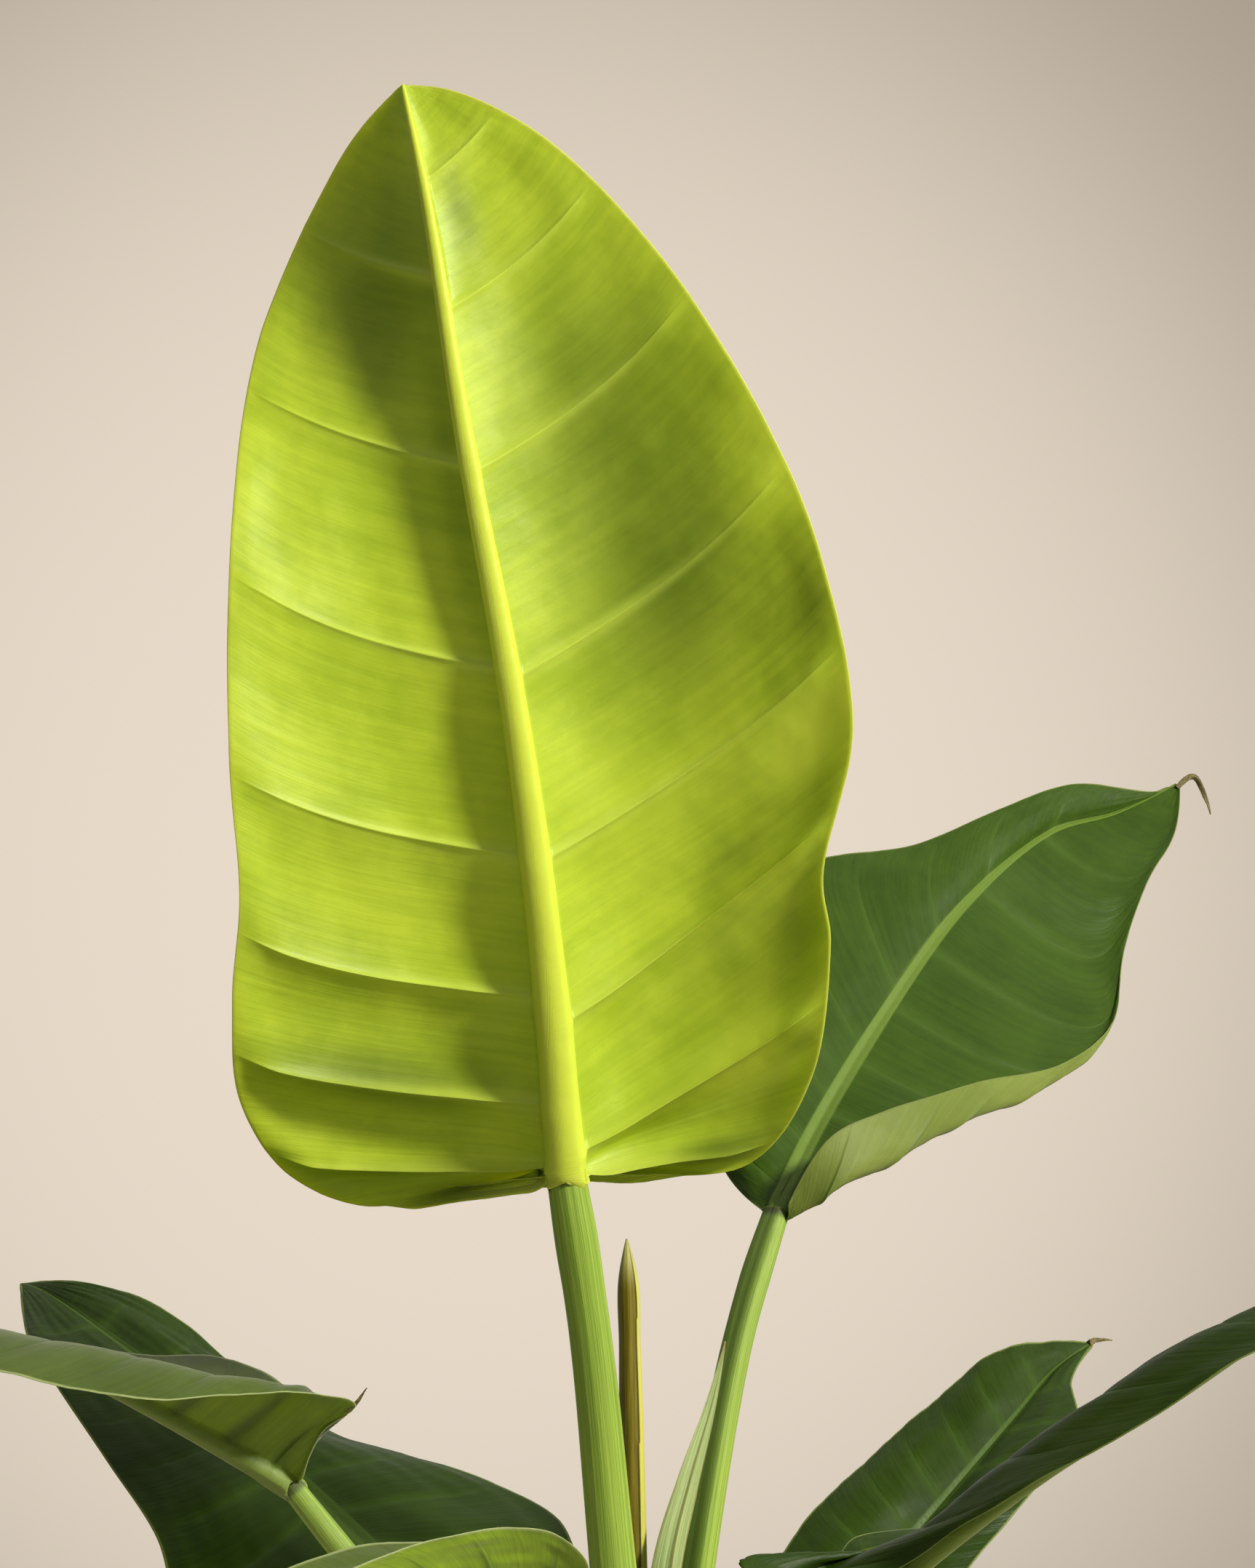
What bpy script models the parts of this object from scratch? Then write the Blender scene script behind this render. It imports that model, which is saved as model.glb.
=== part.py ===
"""Potted philodendron: nine undivided leaves on a short stem, a rolled new leaf, soil and a plain pot.

Metres, +Z up. The origin is the centre of the pot's underside, and the plant's front faces -Y.
Run with: blender --background --python part.py
"""

import math

import bmesh
import bpy
import numpy as np

MM = 0.001

# Clearance between pieces that touch on the real plant.
GAP = 0.0003

# Pot.
POT_HEIGHT = 0.150
POT_RIM_RADIUS = 0.090
POT_BASE_RADIUS = 0.066
POT_WALL = 0.006
POT_FLOOR = 0.009
POT_LIP_HEIGHT = 0.016
EDGE_EASE = 0.002
FOOT_EASE = 0.0015
POT_LIP_STEP = 0.003
FOOT_WIDTH = 0.007
FOOT_RECESS = 0.003
BASE_PAD_RADIUS = 0.020
DRAIN_RADIUS = 0.005
DRAIN_RING_RADIUS = 0.036
DRAIN_COUNT = 4
FOOT_NOTCH_WIDTH = 0.010
POT_SIDES = 48

# Soil.
SOIL_BELOW_RIM = 0.016
SOIL_CROWN = 0.004
STEM_SOCKET_DEPTH = 0.030

# Stem.
STEM_RADIUS = 0.011
STEM_FOOT_RADIUS = 0.013
STEM_ABOVE_SOIL = 0.052
STEM_SIDES = 24

# Leaves.
BLADE_THICKNESS = 0.0012
BLADE_ROWS = 16
VEIN_CROWDING = 1.5
PETIOLE_SIDES = 12
PETIOLE_RINGS = 12
PETIOLE_GROOVE = 0.16
CLASP_LENGTH = 0.012
JUNCTION_GAP = 0.0008

SOIL_TOP = POT_HEIGHT - SOIL_BELOW_RIM
CROWN_HEIGHT = SOIL_TOP + STEM_ABOVE_SOIL

# Each leaf: its petiole's route in millimetres from the middle of the stem's top, the petiole's radii at foot and
# top, and the blade's rails in millimetres from the petiole's top. A rail runs from the blade's base to its tip.
# "left" and "right" are as seen from above with the tip ahead, each from the midrib outwards to the margin.
# "clasp" is the angle and the depth below the crown where a lower leaf holds the stem's side.
# "fold" is the share of each half's width where its belly is deepest, half-way when it is not given.
LEAVES = {
    "top": {
        "colour": "young_leaf",
        "petiole": [(-1, -8, 0), (-4.5, -8, 51), (-9.5, -10, 103), (-15.5, -12, 143)],
        "radii": (6.2, 4.8),
        "midrib": [(0, 0, 0), (-5, -10, 56), (-12, -18, 110), (-23, -20, 171), (-32, -14, 226), (-38, -8, 254.5)],
        "left": [
            [(4, 1, 1), (19, 8, 0), (42, 8, 2), (57, -4, 23), (61, -14, 55), (59, -15, 70), (66, -22, 105),
             (60, -24, 139), (48, -22, 171), (24, -16, 211), (-4, -11, 241), (-25, -9, 252.5), (-37, -7, 254.5)],
        ],
        "right": [
            [(-4, 1, 0), (-24, 14, -3), (-48, 20, -8), (-65, 14, -1), (-76, -2, 17), (-77, -14, 41), (-75, -20, 65),
             (-77, -24, 101), (-77, -18, 150), (-72, 2, 197), (-59, 10, 229), (-50, 6, 244), (-39, -7, 254)],
        ],
        "belly": (9, 3.5),
        "fold": (0.3, 0.12),
        "rib": (9.0, 5.5),
    },
    "right_rear_high": {
        "colour": "mature_leaf",
        "petiole": [(10.5, 6, 0), (14, 11, 40), (25, 30, 98), (35, 45, 129)],
        "radii": (5.0, 3.3),
        "midrib": [(0, 0, 0), (10, 23, 18), (28, 55, 44), (53, 95, 74), (79, 127, 93), (98, 143, 98), (116, 155, 106)],
        "left": [
            [(-3, 1, 1), (-11, 15, 8), (-20, 30, 28), (-12, 60, 60), (9, 90, 84), (41, 105, 90), (64, 120, 99),
             (86, 137, 106), (110, 151, 104), (115.5, 155, 106)],
        ],
        "right": [
            [(3, -3, 0), (17, -5, 10), (30, 5, 14), (48, 25, 21), (65, 45, 26), (81, 65, 35), (89, 85, 46),
             (91, 105, 63), (99, 120, 79), (111, 140, 92), (116.5, 154, 105)],
            [(3, -4, 3), (13, -3, 19), (27, 7, 25), (39, 17, 28), (53, 32, 31), (75, 54, 34), (91, 80, 44),
             (96, 102, 61), (104, 120, 79), (114, 140, 93), (117, 154.5, 106)],
        ],
        "belly": (3, 0),
        "rib": (5.0, 3.5),
    },
    "left": {
        "colour": "mature_leaf",
        "clasp": (183, 26),
        "petiole": [(-34, -6, 16), (-65, -13, 53), (-79, -12, 70)],
        "radii": (4.6, 3.1),
        "midrib": [(0, 0, 0), (-9, -2, 6), (-29, -4, 18), (-48, -6, 28), (-68, -10, 36), (-92, -16, 41),
                   (-133, -24, 42), (-158, -28, 37)],
        "left": [
            [(1, -3, 2), (4, -7, 13), (4, -17, 25), (-1, -22, 27), (-19, -32, 31), (-40, -38, 36), (-64, -40, 40),
             (-97, -40, 46), (-131, -34, 45), (-157, -29, 38)],
            [(2, -4, 3), (7, -10, 15), (15, -14, 21), (5, -26, 26), (-12, -40, 27), (-27, -50, 27), (-49, -54, 31),
             (-62, -54, 34), (-95, -50, 38), (-130, -40, 39), (-157, -30, 37)],
        ],
        "right": [
            [(-1, 4, 2), (1, 18, 13), (-5, 34, 20), (-14, 48, 23), (-25, 58, 24), (-41, 62, 24), (-77, 58, 30),
             (-124, 22, 36), (-157, -27, 37)],
        ],
        "belly": (-3, -5),
        "rib": (5.0, 3.0),
    },
    "left_rear": {
        "colour": "mature_leaf",
        "clasp": (140, 20),
        "petiole": [(-34, 21, 22), (-55, 32, 40)],
        "radii": (4.6, 3.2),
        "midrib": [(0, 0, 0), (-11, 12, 9), (-40, 44, 29), (-74, 80, 47), (-102, 114, 60), (-109, 122, 61)],
        "left": [
            [(-2, -4, 0), (-14, -18, -20), (-32, -16, -24), (-54, 6, -11), (-63, 24, 8), (-77, 46, 23),
             (-93, 72, 39), (-103, 92, 49), (-109, 121, 61)],
        ],
        "right": [
            [(0, 5, 3), (14, 9, 3), (32, 4, -6), (44, 8, -2), (41, 14, 6), (35, 26, 13), (11, 40, 23), (-23, 60, 29),
             (-51, 82, 46), (-65, 94, 55), (-79, 104, 61), (-92, 110, 63), (-108, 122, 61)],
        ],
        "belly": (3, 3),
        "rib": (5.0, 3.0),
    },
    "left_front": {
        "colour": "mature_leaf",
        "clasp": (237, 30),
        "petiole": [(-13, -42, 26), (-16, -70, 51)],
        "radii": (4.6, 3.2),
        "midrib": [(0, 0, 0), (-19, -15, 7), (-42, -40, 8), (-69, -80, 1), (-89, -110, -12), (-99, -130, -27)],
        "left": [
            [(2, -4, 3), (6, -14, 13), (-2, -20, 21), (-11, -26, 23), (-22, -36, 23), (-39, -52, 20),
             (-55, -70, 15), (-75, -98, 2), (-98, -130, -26)],
        ],
        "right": [
            [(-4, 1, 2), (-6, 18, 8), (-20, 26, 11), (-40, 20, 12), (-62, -6, 10), (-84, -50, 0), (-98, -100, -16),
             (-100, -129, -27)],
        ],
        "belly": (-2, -4),
        "rib": (5.0, 3.0),
    },
    "right_rear_low": {
        "colour": "mature_leaf",
        "clasp": (34, 24),
        "petiole": [(36, 30, 14), (48, 40, 26)],
        "radii": (4.6, 3.1),
        "midrib": [(0, 0, 0), (25, 26, 24), (51, 60, 47), (62, 78, 56), (73, 90, 62)],
        "left": [
            [(-2, 3, 1), (-19, 4, 1), (-13, 16, 15), (5, 36, 33), (25, 56, 47), (44, 74, 60), (61, 84, 63),
             (72, 90, 62)],
        ],
        "right": [
            [(3, -2, 0), (18, -8, -6), (35, 8, 16), (54, 32, 33), (66, 56, 45), (66, 72, 54), (73, 89, 61)],
        ],
        "belly": (3, 3),
        "rib": (4.5, 3.0),
    },
    "right": {
        "colour": "mature_leaf",
        "clasp": (-26, 28),
        "petiole": [(34, -22, 26), (52, -34, 45)],
        "radii": (4.6, 3.2),
        "midrib": [(0, 0, 0), (19, -10, 18), (43, -18, 37), (67, -24, 52), (99, -30, 73), (131, -34, 83),
                   (155, -36, 82)],
        "left": [
            [(2, 4, 1), (-4, 16, 6), (-1, 26, 12), (10, 32, 14), (25, 34, 15), (48, 26, 34), (80, 16, 60),
             (115, 2, 74), (154, -35, 82)],
        ],
        "right": [
            [(1, -3, 1), (-18, -20, 8), (-28, -26, 16), (-19, -24, 13), (-8, -18, 13), (12, -26, 23), (31, -32, 39),
             (48, -38, 52), (67, -42, 65), (85, -46, 74), (120, -46, 84), (155, -37, 83)],
            [(2, -4, 0), (-16, -24, 4), (-30, -32, 12), (-20, -34, 10), (-6, -30, 8), (8, -30, 15), (23, -42, 28),
             (38, -50, 38), (57, -56, 49), (83, -60, 67), (120, -56, 76), (155, -38, 82)],
        ],
        "belly": (-3, -3),
        "rib": (5.0, 3.0),
    },
    "right_front": {
        "colour": "old_leaf",
        "clasp": (-66, 36),
        "petiole": [(17, -33, 0), (24, -44, 10)],
        "radii": (4.4, 3.2),
        "midrib": [(0, 0, 0), (14, -22, 6), (34, -52, 4), (54, -84, -10), (68, -108, -30), (76, -122, -46)],
        "left": [
            [(3, 1, 0), (26, 10, -4), (44, -6, -4), (58, -32, -4), (70, -62, -12), (78, -92, -26),
             (77, -121, -45)],
        ],
        "right": [
            [(-3, -2, 0), (-16, -24, -2), (-16, -46, 0), (0, -72, -2), (24, -100, -14), (52, -120, -32),
             (75, -122, -46)],
        ],
        "belly": (3, 3),
        "rib": (5.0, 3.0),
    },
    "rear": {
        "colour": "old_leaf",
        "clasp": (95, 34),
        "petiole": [(2, 34, 6), (4, 46, 18)],
        "radii": (4.4, 3.2),
        "midrib": [(0, 0, 0), (2, 30, 6), (4, 70, 4), (6, 110, -10), (6, 150, -36), (6, 172, -54)],
        "left": [
            [(-4, 1, 1), (-26, -14, -2), (-44, 6, 0), (-46, 40, 4), (-44, 80, 0), (-32, 120, -16), (-12, 156, -42),
             (5, 171, -54)],
        ],
        "right": [
            [(4, 1, 1), (28, -12, -4), (48, 8, -4), (54, 42, 0), (50, 82, -4), (38, 122, -20), (18, 158, -44),
             (7, 171, -54)],
        ],
        "belly": (3, 3),
        "rib": (5.0, 3.0),
    },
}

# The rolled new leaf: its route in millimetres from the middle of the stem's top, and its radius along it.
SPEAR_ROUTE = [(0.5, 3.5, 0), (0, 4, 49), (-1, 5, 108), (-1.5, 5, 127)]
SPEAR_RADII = [3.4, 3.4, 2.9, 2.5, 0.5]

# The cataphyll, a keeled sheath: rails in millimetres from the middle of the stem's top.
CATAPHYLL = {
    "midrib": [(7.0, -0.6, 0), (8.0, 0.5, 48), (12.5, 6, 68), (18, 13, 86), (22, 19, 101)],
    "left": [[(9.6, -0.4, 0), (12.0, 1.5, 48), (16.5, 7, 68), (20, 13.5, 86), (22.4, 19, 101)]],
    "right": [[(4.6, 0.2, 0), (5.2, 1.6, 48), (9.4, 8, 68), (16, 14.5, 86), (21.6, 19.6, 101)]],
    "belly": (0, 0),
}

COLOURS = {
    "young_leaf": ((0.30, 0.42, 0.03), 0.32),
    "mature_leaf": ((0.035, 0.10, 0.012), 0.38),
    "old_leaf": ((0.025, 0.075, 0.010), 0.40),
    "petiole": ((0.22, 0.33, 0.06), 0.35),
    "spear": ((0.30, 0.16, 0.02), 0.35),
    "cataphyll": ((0.36, 0.44, 0.17), 0.45),
    "stem": ((0.16, 0.20, 0.06), 0.70),
    "soil": ((0.035, 0.022, 0.013), 0.95),
    "pot": ((0.62, 0.58, 0.52), 0.75),
}


def clear_scene():
    for thing in list(bpy.data.objects):
        bpy.data.objects.remove(thing, do_unlink=True)


def material(name):
    """A Principled material of the named colour."""
    existing = bpy.data.materials.get(name)
    if existing:
        return existing
    colour, roughness = COLOURS[name]
    made = bpy.data.materials.new(name)
    made.use_nodes = True
    shader = made.node_tree.nodes["Principled BSDF"]
    shader.inputs["Base Color"].default_value = (*colour, 1.0)
    shader.inputs["Roughness"].default_value = roughness
    shader.inputs["Metallic"].default_value = 0.0
    return made


def add_object(name, verts, faces, colour, crease_degrees=40):
    """A closed mesh object, its faces pointing out, smooth except across sharp edges."""
    mesh = bpy.data.meshes.new(name)
    mesh.from_pydata([tuple(float(c) for c in v) for v in verts], [], faces)
    shape = bmesh.new()
    shape.from_mesh(mesh)
    bmesh.ops.recalc_face_normals(shape, faces=shape.faces)
    shape.to_mesh(mesh)
    shape.free()
    mesh.shade_smooth()
    mesh.set_sharp_from_angle(angle=math.radians(crease_degrees))
    mesh.materials.append(material(colour))
    made = bpy.data.objects.new(name, mesh)
    bpy.context.scene.collection.objects.link(made)
    return made


def smooth_through(points, knots, at):
    """Values at the places in at, on a smooth curve that passes points[i] at knots[i]."""
    points = np.asarray(points, float)
    knots = np.asarray(knots, float)
    at = np.clip(np.asarray(at, float), knots[0], knots[-1])
    shape = (-1,) + (1,) * (points.ndim - 1)
    steps = np.diff(knots)
    slopes = np.diff(points, axis=0) / steps.reshape(shape)
    tangents = np.empty_like(points)
    tangents[0] = slopes[0]
    tangents[-1] = slopes[-1]
    if len(steps) > 1:
        weight = (steps[1:] / (steps[:-1] + steps[1:])).reshape(shape)
        tangents[1:-1] = slopes[:-1] * weight + slopes[1:] * (1 - weight)
        tangents[0] = 1.5 * slopes[0] - 0.5 * tangents[1]
        tangents[-1] = 1.5 * slopes[-1] - 0.5 * tangents[-2]
    i = np.clip(np.searchsorted(knots, at, side="right") - 1, 0, len(steps) - 1)
    width = steps[i].reshape(shape)
    u = ((at - knots[i]) / steps[i]).reshape(shape)
    return (
        points[i] * (2 * u**3 - 3 * u**2 + 1)
        + tangents[i] * width * (u**3 - 2 * u**2 + u)
        + points[i + 1] * (3 * u**2 - 2 * u**3)
        + tangents[i + 1] * width * (u**3 - u**2)
    )


def along(points, fractions, samples=200):
    """Positions at fractions of the length of a smooth curve through the points."""
    points = np.asarray(points, float)
    spacing = np.sqrt(np.linalg.norm(np.diff(points, axis=0), axis=1))
    knots = np.concatenate([[0.0], np.cumsum(spacing)])
    places = np.linspace(0, knots[-1], samples)
    curve = smooth_through(points, knots, places)
    length = np.concatenate([[0.0], np.cumsum(np.linalg.norm(np.diff(curve, axis=0), axis=1))])
    wanted = np.interp(np.asarray(fractions) * length[-1], length, places)
    return smooth_through(points, knots, wanted)


def unit(vectors):
    return vectors / np.maximum(np.linalg.norm(vectors, axis=-1, keepdims=True), 1e-12)


def half_blade(midrib, rails, rows, belly, fold, rib_width, columns):
    """Columns of points from the midrib to the margin, each running from the blade's base to its tip.

    A half with only its margin rail is swollen by the belly at the fold, a share of the way to the margin.
    """
    lines = [midrib]
    for number, rail in enumerate(rails):
        outward = (number + 1) / len(rails)
        crowding = VEIN_CROWDING * (1 - outward) + outward
        lines.append(along(rail, rows**crowding))
    if len(rails) == 1:
        across = lines[1] - lines[0]
        bulge = unit(np.cross(across, np.gradient(midrib, axis=0)))
        swell = np.sin(np.pi * np.clip(rows, 0, 1) ** 0.8)[:, None]
        lines.insert(1, lines[0] + across * fold + bulge * swell * belly)
    lines = np.array(lines)
    spans = np.linalg.norm(np.diff(lines, axis=0), axis=2).mean(axis=1)
    knots = np.concatenate([[0.0], np.cumsum(spans)]) / spans.sum()
    edge = min(0.12, rib_width / spans.sum())
    places = np.concatenate([[0.0, edge], np.linspace(edge, 1, columns)[1:]])
    return smooth_through(lines, knots, places)


def blade_grid(leaf, row_count, columns):
    """The blade's middle surface in millimetres, as [column from left to right, row from base to tip, xyz]."""
    rows = np.linspace(0, 1, row_count + 1)
    midrib = along(leaf["midrib"], rows**VEIN_CROWDING)
    rib_width = leaf.get("rib", (2.0, 2.0))[0] / 2
    left_belly, right_belly = leaf["belly"]
    left_fold, right_fold = leaf.get("fold", (0.5, 0.5))
    left = half_blade(midrib, leaf["left"], rows, -left_belly, left_fold, rib_width, columns)
    right = half_blade(midrib, leaf["right"], rows, right_belly, right_fold, rib_width, columns)
    return np.concatenate([left[::-1], right[1:]])


def blade(name, leaf, base, colour, columns=4):
    """A leaf blade: a thin sheet on its rails, with the midrib standing out of the underside."""
    grid = blade_grid(leaf, BLADE_ROWS, columns)
    across = np.gradient(grid, axis=0)
    onward = np.gradient(grid, axis=1)
    upward = unit(np.cross(across, onward))
    upper = grid * MM + base + upward * BLADE_THICKNESS / 2
    depth = np.full(grid.shape[:2], BLADE_THICKNESS / 2)
    middle = grid.shape[0] // 2
    rib_height = leaf.get("rib", (0.0, 0.0))[1] * MM
    fade = np.linspace(1, 0, grid.shape[1]) ** 0.8
    fade[0] = 0
    depth[middle] += rib_height * fade
    lower = grid * MM + base - upward * depth[..., None]
    count, length = grid.shape[:2]
    verts = np.concatenate([upper.reshape(-1, 3), lower.reshape(-1, 3)])

    def at(side, column, row):
        return side * count * length + column * length + row

    faces = []
    for column in range(count - 1):
        for row in range(length - 1):
            ring = [(column, row), (column + 1, row), (column + 1, row + 1), (column, row + 1)]
            faces.append([at(0, *place) for place in ring])
            faces.append([at(1, *place) for place in reversed(ring)])
    rim = [(c, 0) for c in range(count)]
    rim += [(count - 1, r) for r in range(1, length)]
    rim += [(c, length - 1) for c in range(count - 2, -1, -1)]
    rim += [(0, r) for r in range(length - 2, 0, -1)]
    for start, end in zip(rim, rim[1:] + rim[:1]):
        faces.append([at(0, *end), at(0, *start), at(1, *start), at(1, *end)])
    return add_object(name, verts, faces, colour)


def tube(name, route, radii, colour, sides, rings, groove=0.0, groove_side=(0, 0, 1)):
    """A closed round bar along a smooth route in metres, with a shallow groove along one side."""
    places = np.linspace(0, 1, rings)
    centres = along(route, places)
    radius = smooth_through(np.array(radii)[:, None], np.linspace(0, 1, len(radii)), places)[:, 0]
    forward = unit(np.gradient(centres, axis=0))
    toward = unit(np.cross(np.cross(forward, np.array(groove_side, float)), forward))
    sideways = np.cross(forward, toward)
    verts = []
    for ring in range(rings):
        for step in range(sides):
            angle = 2 * math.pi * step / sides
            reach = radius[ring] * (1 - groove * max(0.0, math.cos(angle)) ** 3)
            spoke = math.cos(angle) * toward[ring] + math.sin(angle) * sideways[ring]
            verts.append(centres[ring] + reach * spoke)
    faces = [list(range(sides)), list(range((rings - 1) * sides, rings * sides))]
    for ring in range(rings - 1):
        for step in range(sides):
            near = ring * sides + step
            beside = ring * sides + (step + 1) % sides
            faces.append([near, beside, beside + sides, near + sides])
    return add_object(name, verts, faces, colour)


def turned(name, profile, colour, sides):
    """A solid turned about Z from a profile of (radius, height) pairs; a radius of 0 closes it on the axis."""
    verts = []
    rings = []
    for radius, height in profile:
        if radius == 0:
            rings.append([len(verts)])
            verts.append((0.0, 0.0, height))
            continue
        rings.append(list(range(len(verts), len(verts) + sides)))
        for step in range(sides):
            angle = 2 * math.pi * step / sides
            verts.append((radius * math.cos(angle), radius * math.sin(angle), height))
    faces = []
    for lower, upper in zip(rings, rings[1:]):
        for step in range(sides):
            after = (step + 1) % sides
            corners = [lower[step % len(lower)], lower[after % len(lower)]]
            corners += [upper[after % len(upper)], upper[step % len(upper)]]
            faces.append(list(dict.fromkeys(corners)))
    return add_object(name, verts, faces, colour, crease_degrees=30)


def cut(target, cutter, name):
    """Takes the cutter's shape out of the target."""
    cutter.hide_render = True
    cutter.display_type = "WIRE"
    step = target.modifiers.new(name, "BOOLEAN")
    step.operation = "DIFFERENCE"
    step.solver = "EXACT"
    step.object = cutter


def cylinder_cutter(name, radius, low, high, x, y, sides=16):
    made = turned(name, [(0, low), (radius, low), (radius, high), (0, high)], "pot", sides)
    made.location = (x, y, 0)
    return made


def pot_inner_radius(height):
    """Radius of the pot's inner wall at a height above its underside."""
    share = (height - POT_FLOOR) / (POT_HEIGHT - POT_FLOOR)
    floor_radius = POT_BASE_RADIUS - POT_WALL + 0.002
    return floor_radius + share * (POT_RIM_RADIUS - POT_WALL - floor_radius)


def build_pot():
    """A plain tapered pot with a lip, a foot ring, a flat pad under its middle and drain holes."""
    lip_low = POT_HEIGHT - POT_LIP_HEIGHT
    slope = (POT_RIM_RADIUS - POT_LIP_STEP - POT_BASE_RADIUS) / (lip_low - 2 * EDGE_EASE)
    round_edge = POT_WALL * 0.25
    profile = [
        (0, 0),
        (BASE_PAD_RADIUS, 0),
        (BASE_PAD_RADIUS + EDGE_EASE, FOOT_RECESS),
        (POT_BASE_RADIUS - FOOT_WIDTH, FOOT_RECESS),
        (POT_BASE_RADIUS - FOOT_WIDTH + FOOT_EASE, 0),
        (POT_BASE_RADIUS - FOOT_EASE, 0),
        (POT_BASE_RADIUS, EDGE_EASE),
        (POT_BASE_RADIUS + slope * (lip_low - 3 * EDGE_EASE), lip_low - EDGE_EASE),
        (POT_RIM_RADIUS - POT_LIP_STEP * 0.4, lip_low),
        (POT_RIM_RADIUS, lip_low + EDGE_EASE),
        (POT_RIM_RADIUS, POT_HEIGHT - round_edge),
        (POT_RIM_RADIUS - round_edge, POT_HEIGHT),
        (POT_RIM_RADIUS - POT_WALL + round_edge, POT_HEIGHT),
        (pot_inner_radius(POT_HEIGHT - round_edge), POT_HEIGHT - round_edge),
        (pot_inner_radius(POT_FLOOR), POT_FLOOR),
        (0, POT_FLOOR),
    ]
    pot = turned("pot", profile, "pot", POT_SIDES)
    for number in range(DRAIN_COUNT):
        angle = 2 * math.pi * (number + 0.5) / DRAIN_COUNT
        x = DRAIN_RING_RADIUS * math.cos(angle)
        y = DRAIN_RING_RADIUS * math.sin(angle)
        hole = cylinder_cutter(f"drain_cutter_{number}", DRAIN_RADIUS, -0.01, POT_FLOOR + 0.01, x, y)
        cut(pot, hole, f"drain_{number}")
        notch = foot_notch_cutter(number, angle)
        cut(pot, notch, f"notch_{number}")


def foot_notch_cutter(number, angle):
    """A bar that cuts a shallow way through the foot ring, so that water drains from under the pot."""
    inner = POT_BASE_RADIUS - FOOT_WIDTH - 0.003
    outer = POT_BASE_RADIUS + 0.005
    half = FOOT_NOTCH_WIDTH / 2
    top = FOOT_RECESS * 0.8
    outward = np.array([math.cos(angle), math.sin(angle), 0])
    aside = np.array([-math.sin(angle), math.cos(angle), 0])
    verts = []
    for height in (-0.005, top):
        for reach, side in ((inner, -half), (outer, -half), (outer, half), (inner, half)):
            verts.append(outward * reach + aside * side + np.array([0, 0, height]))
    faces = [[0, 3, 2, 1], [4, 5, 6, 7], [0, 1, 5, 4], [1, 2, 6, 5], [2, 3, 7, 6], [3, 0, 4, 7]]
    return add_object(f"notch_cutter_{number}", verts, faces, "pot")


def build_soil():
    """Potting soil that fills the pot, mounded round the stem, with a socket for the stem's foot."""
    bottom = POT_FLOOR + GAP
    socket = STEM_FOOT_RADIUS + GAP
    edge_top = SOIL_TOP - SOIL_CROWN
    profile = [
        (0, SOIL_TOP - STEM_SOCKET_DEPTH),
        (socket, SOIL_TOP - STEM_SOCKET_DEPTH),
        (socket, SOIL_TOP),
        (socket * 1.6, SOIL_TOP - SOIL_CROWN * 0.1),
        (POT_RIM_RADIUS * 0.55, SOIL_TOP - SOIL_CROWN * 0.6),
        (pot_inner_radius(edge_top) - GAP, edge_top),
        (pot_inner_radius(bottom) - GAP, bottom),
        (0, bottom),
    ]
    turned("soil", profile[::-1], "soil", POT_SIDES)


def build_stem():
    """The short upright stem, from its foot in the soil to the flat crown that the top leaves stand on."""
    foot = SOIL_TOP - STEM_SOCKET_DEPTH + GAP
    profile = [
        (0, foot),
        (STEM_FOOT_RADIUS - 0.002, foot),
        (STEM_FOOT_RADIUS, foot + 0.003),
        (STEM_FOOT_RADIUS, SOIL_TOP + 0.001),
        (STEM_RADIUS, SOIL_TOP + 0.008),
        (STEM_RADIUS, CROWN_HEIGHT - 0.002),
        (STEM_RADIUS - 0.001, CROWN_HEIGHT - GAP),
        (0, CROWN_HEIGHT - GAP),
    ]
    turned("stem", profile, "stem", STEM_SIDES)


def petiole_route(leaf):
    """A petiole's centre line in metres: from the crown, or from the stem's side, to the blade."""
    crown = np.array([0, 0, CROWN_HEIGHT])
    route = [crown + np.array(point) * MM for point in leaf["petiole"]]
    if "clasp" not in leaf:
        route[0][2] += GAP
        route.insert(1, route[0] + np.array([0, 0, CLASP_LENGTH]))
    else:
        degrees, below = leaf["clasp"]
        reach = STEM_RADIUS + leaf["radii"][0] * MM + GAP
        angle = math.radians(degrees)
        foot = crown + np.array([reach * math.cos(angle), reach * math.sin(angle), -below * MM])
        route = [foot, foot + np.array([0, 0, CLASP_LENGTH])] + route
    return route


def build_leaf(name, leaf):
    route = petiole_route(leaf)
    junction = route[-1]
    rise = unit(route[-1] - route[-2])
    route[-1] = junction - rise * (BLADE_THICKNESS + JUNCTION_GAP)
    radii = [r * MM for r in leaf["radii"]]
    inward = -np.array([junction[0], junction[1], 0.0])
    tube(f"petiole_{name}", route, radii, "petiole", PETIOLE_SIDES, PETIOLE_RINGS, PETIOLE_GROOVE, inward)
    blade(f"blade_{name}", leaf, junction, leaf["colour"])


def build_spear():
    crown = np.array([0, 0, CROWN_HEIGHT])
    route = [crown + np.array(point) * MM for point in SPEAR_ROUTE]
    tube("spear", route, [r * MM for r in SPEAR_RADII], "spear", PETIOLE_SIDES, 2 * PETIOLE_RINGS)


def build_cataphyll():
    crown = np.array([0, 0, CROWN_HEIGHT + GAP])
    blade("cataphyll", CATAPHYLL, crown, "cataphyll", columns=2)


def main():
    clear_scene()
    build_pot()
    build_soil()
    build_stem()
    build_spear()
    build_cataphyll()
    for name, leaf in LEAVES.items():
        build_leaf(name, leaf)


main()
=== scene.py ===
"""Looks of the potted philodendron: leaves, petioles, sheath, stem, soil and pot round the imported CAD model."""

import math

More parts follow.
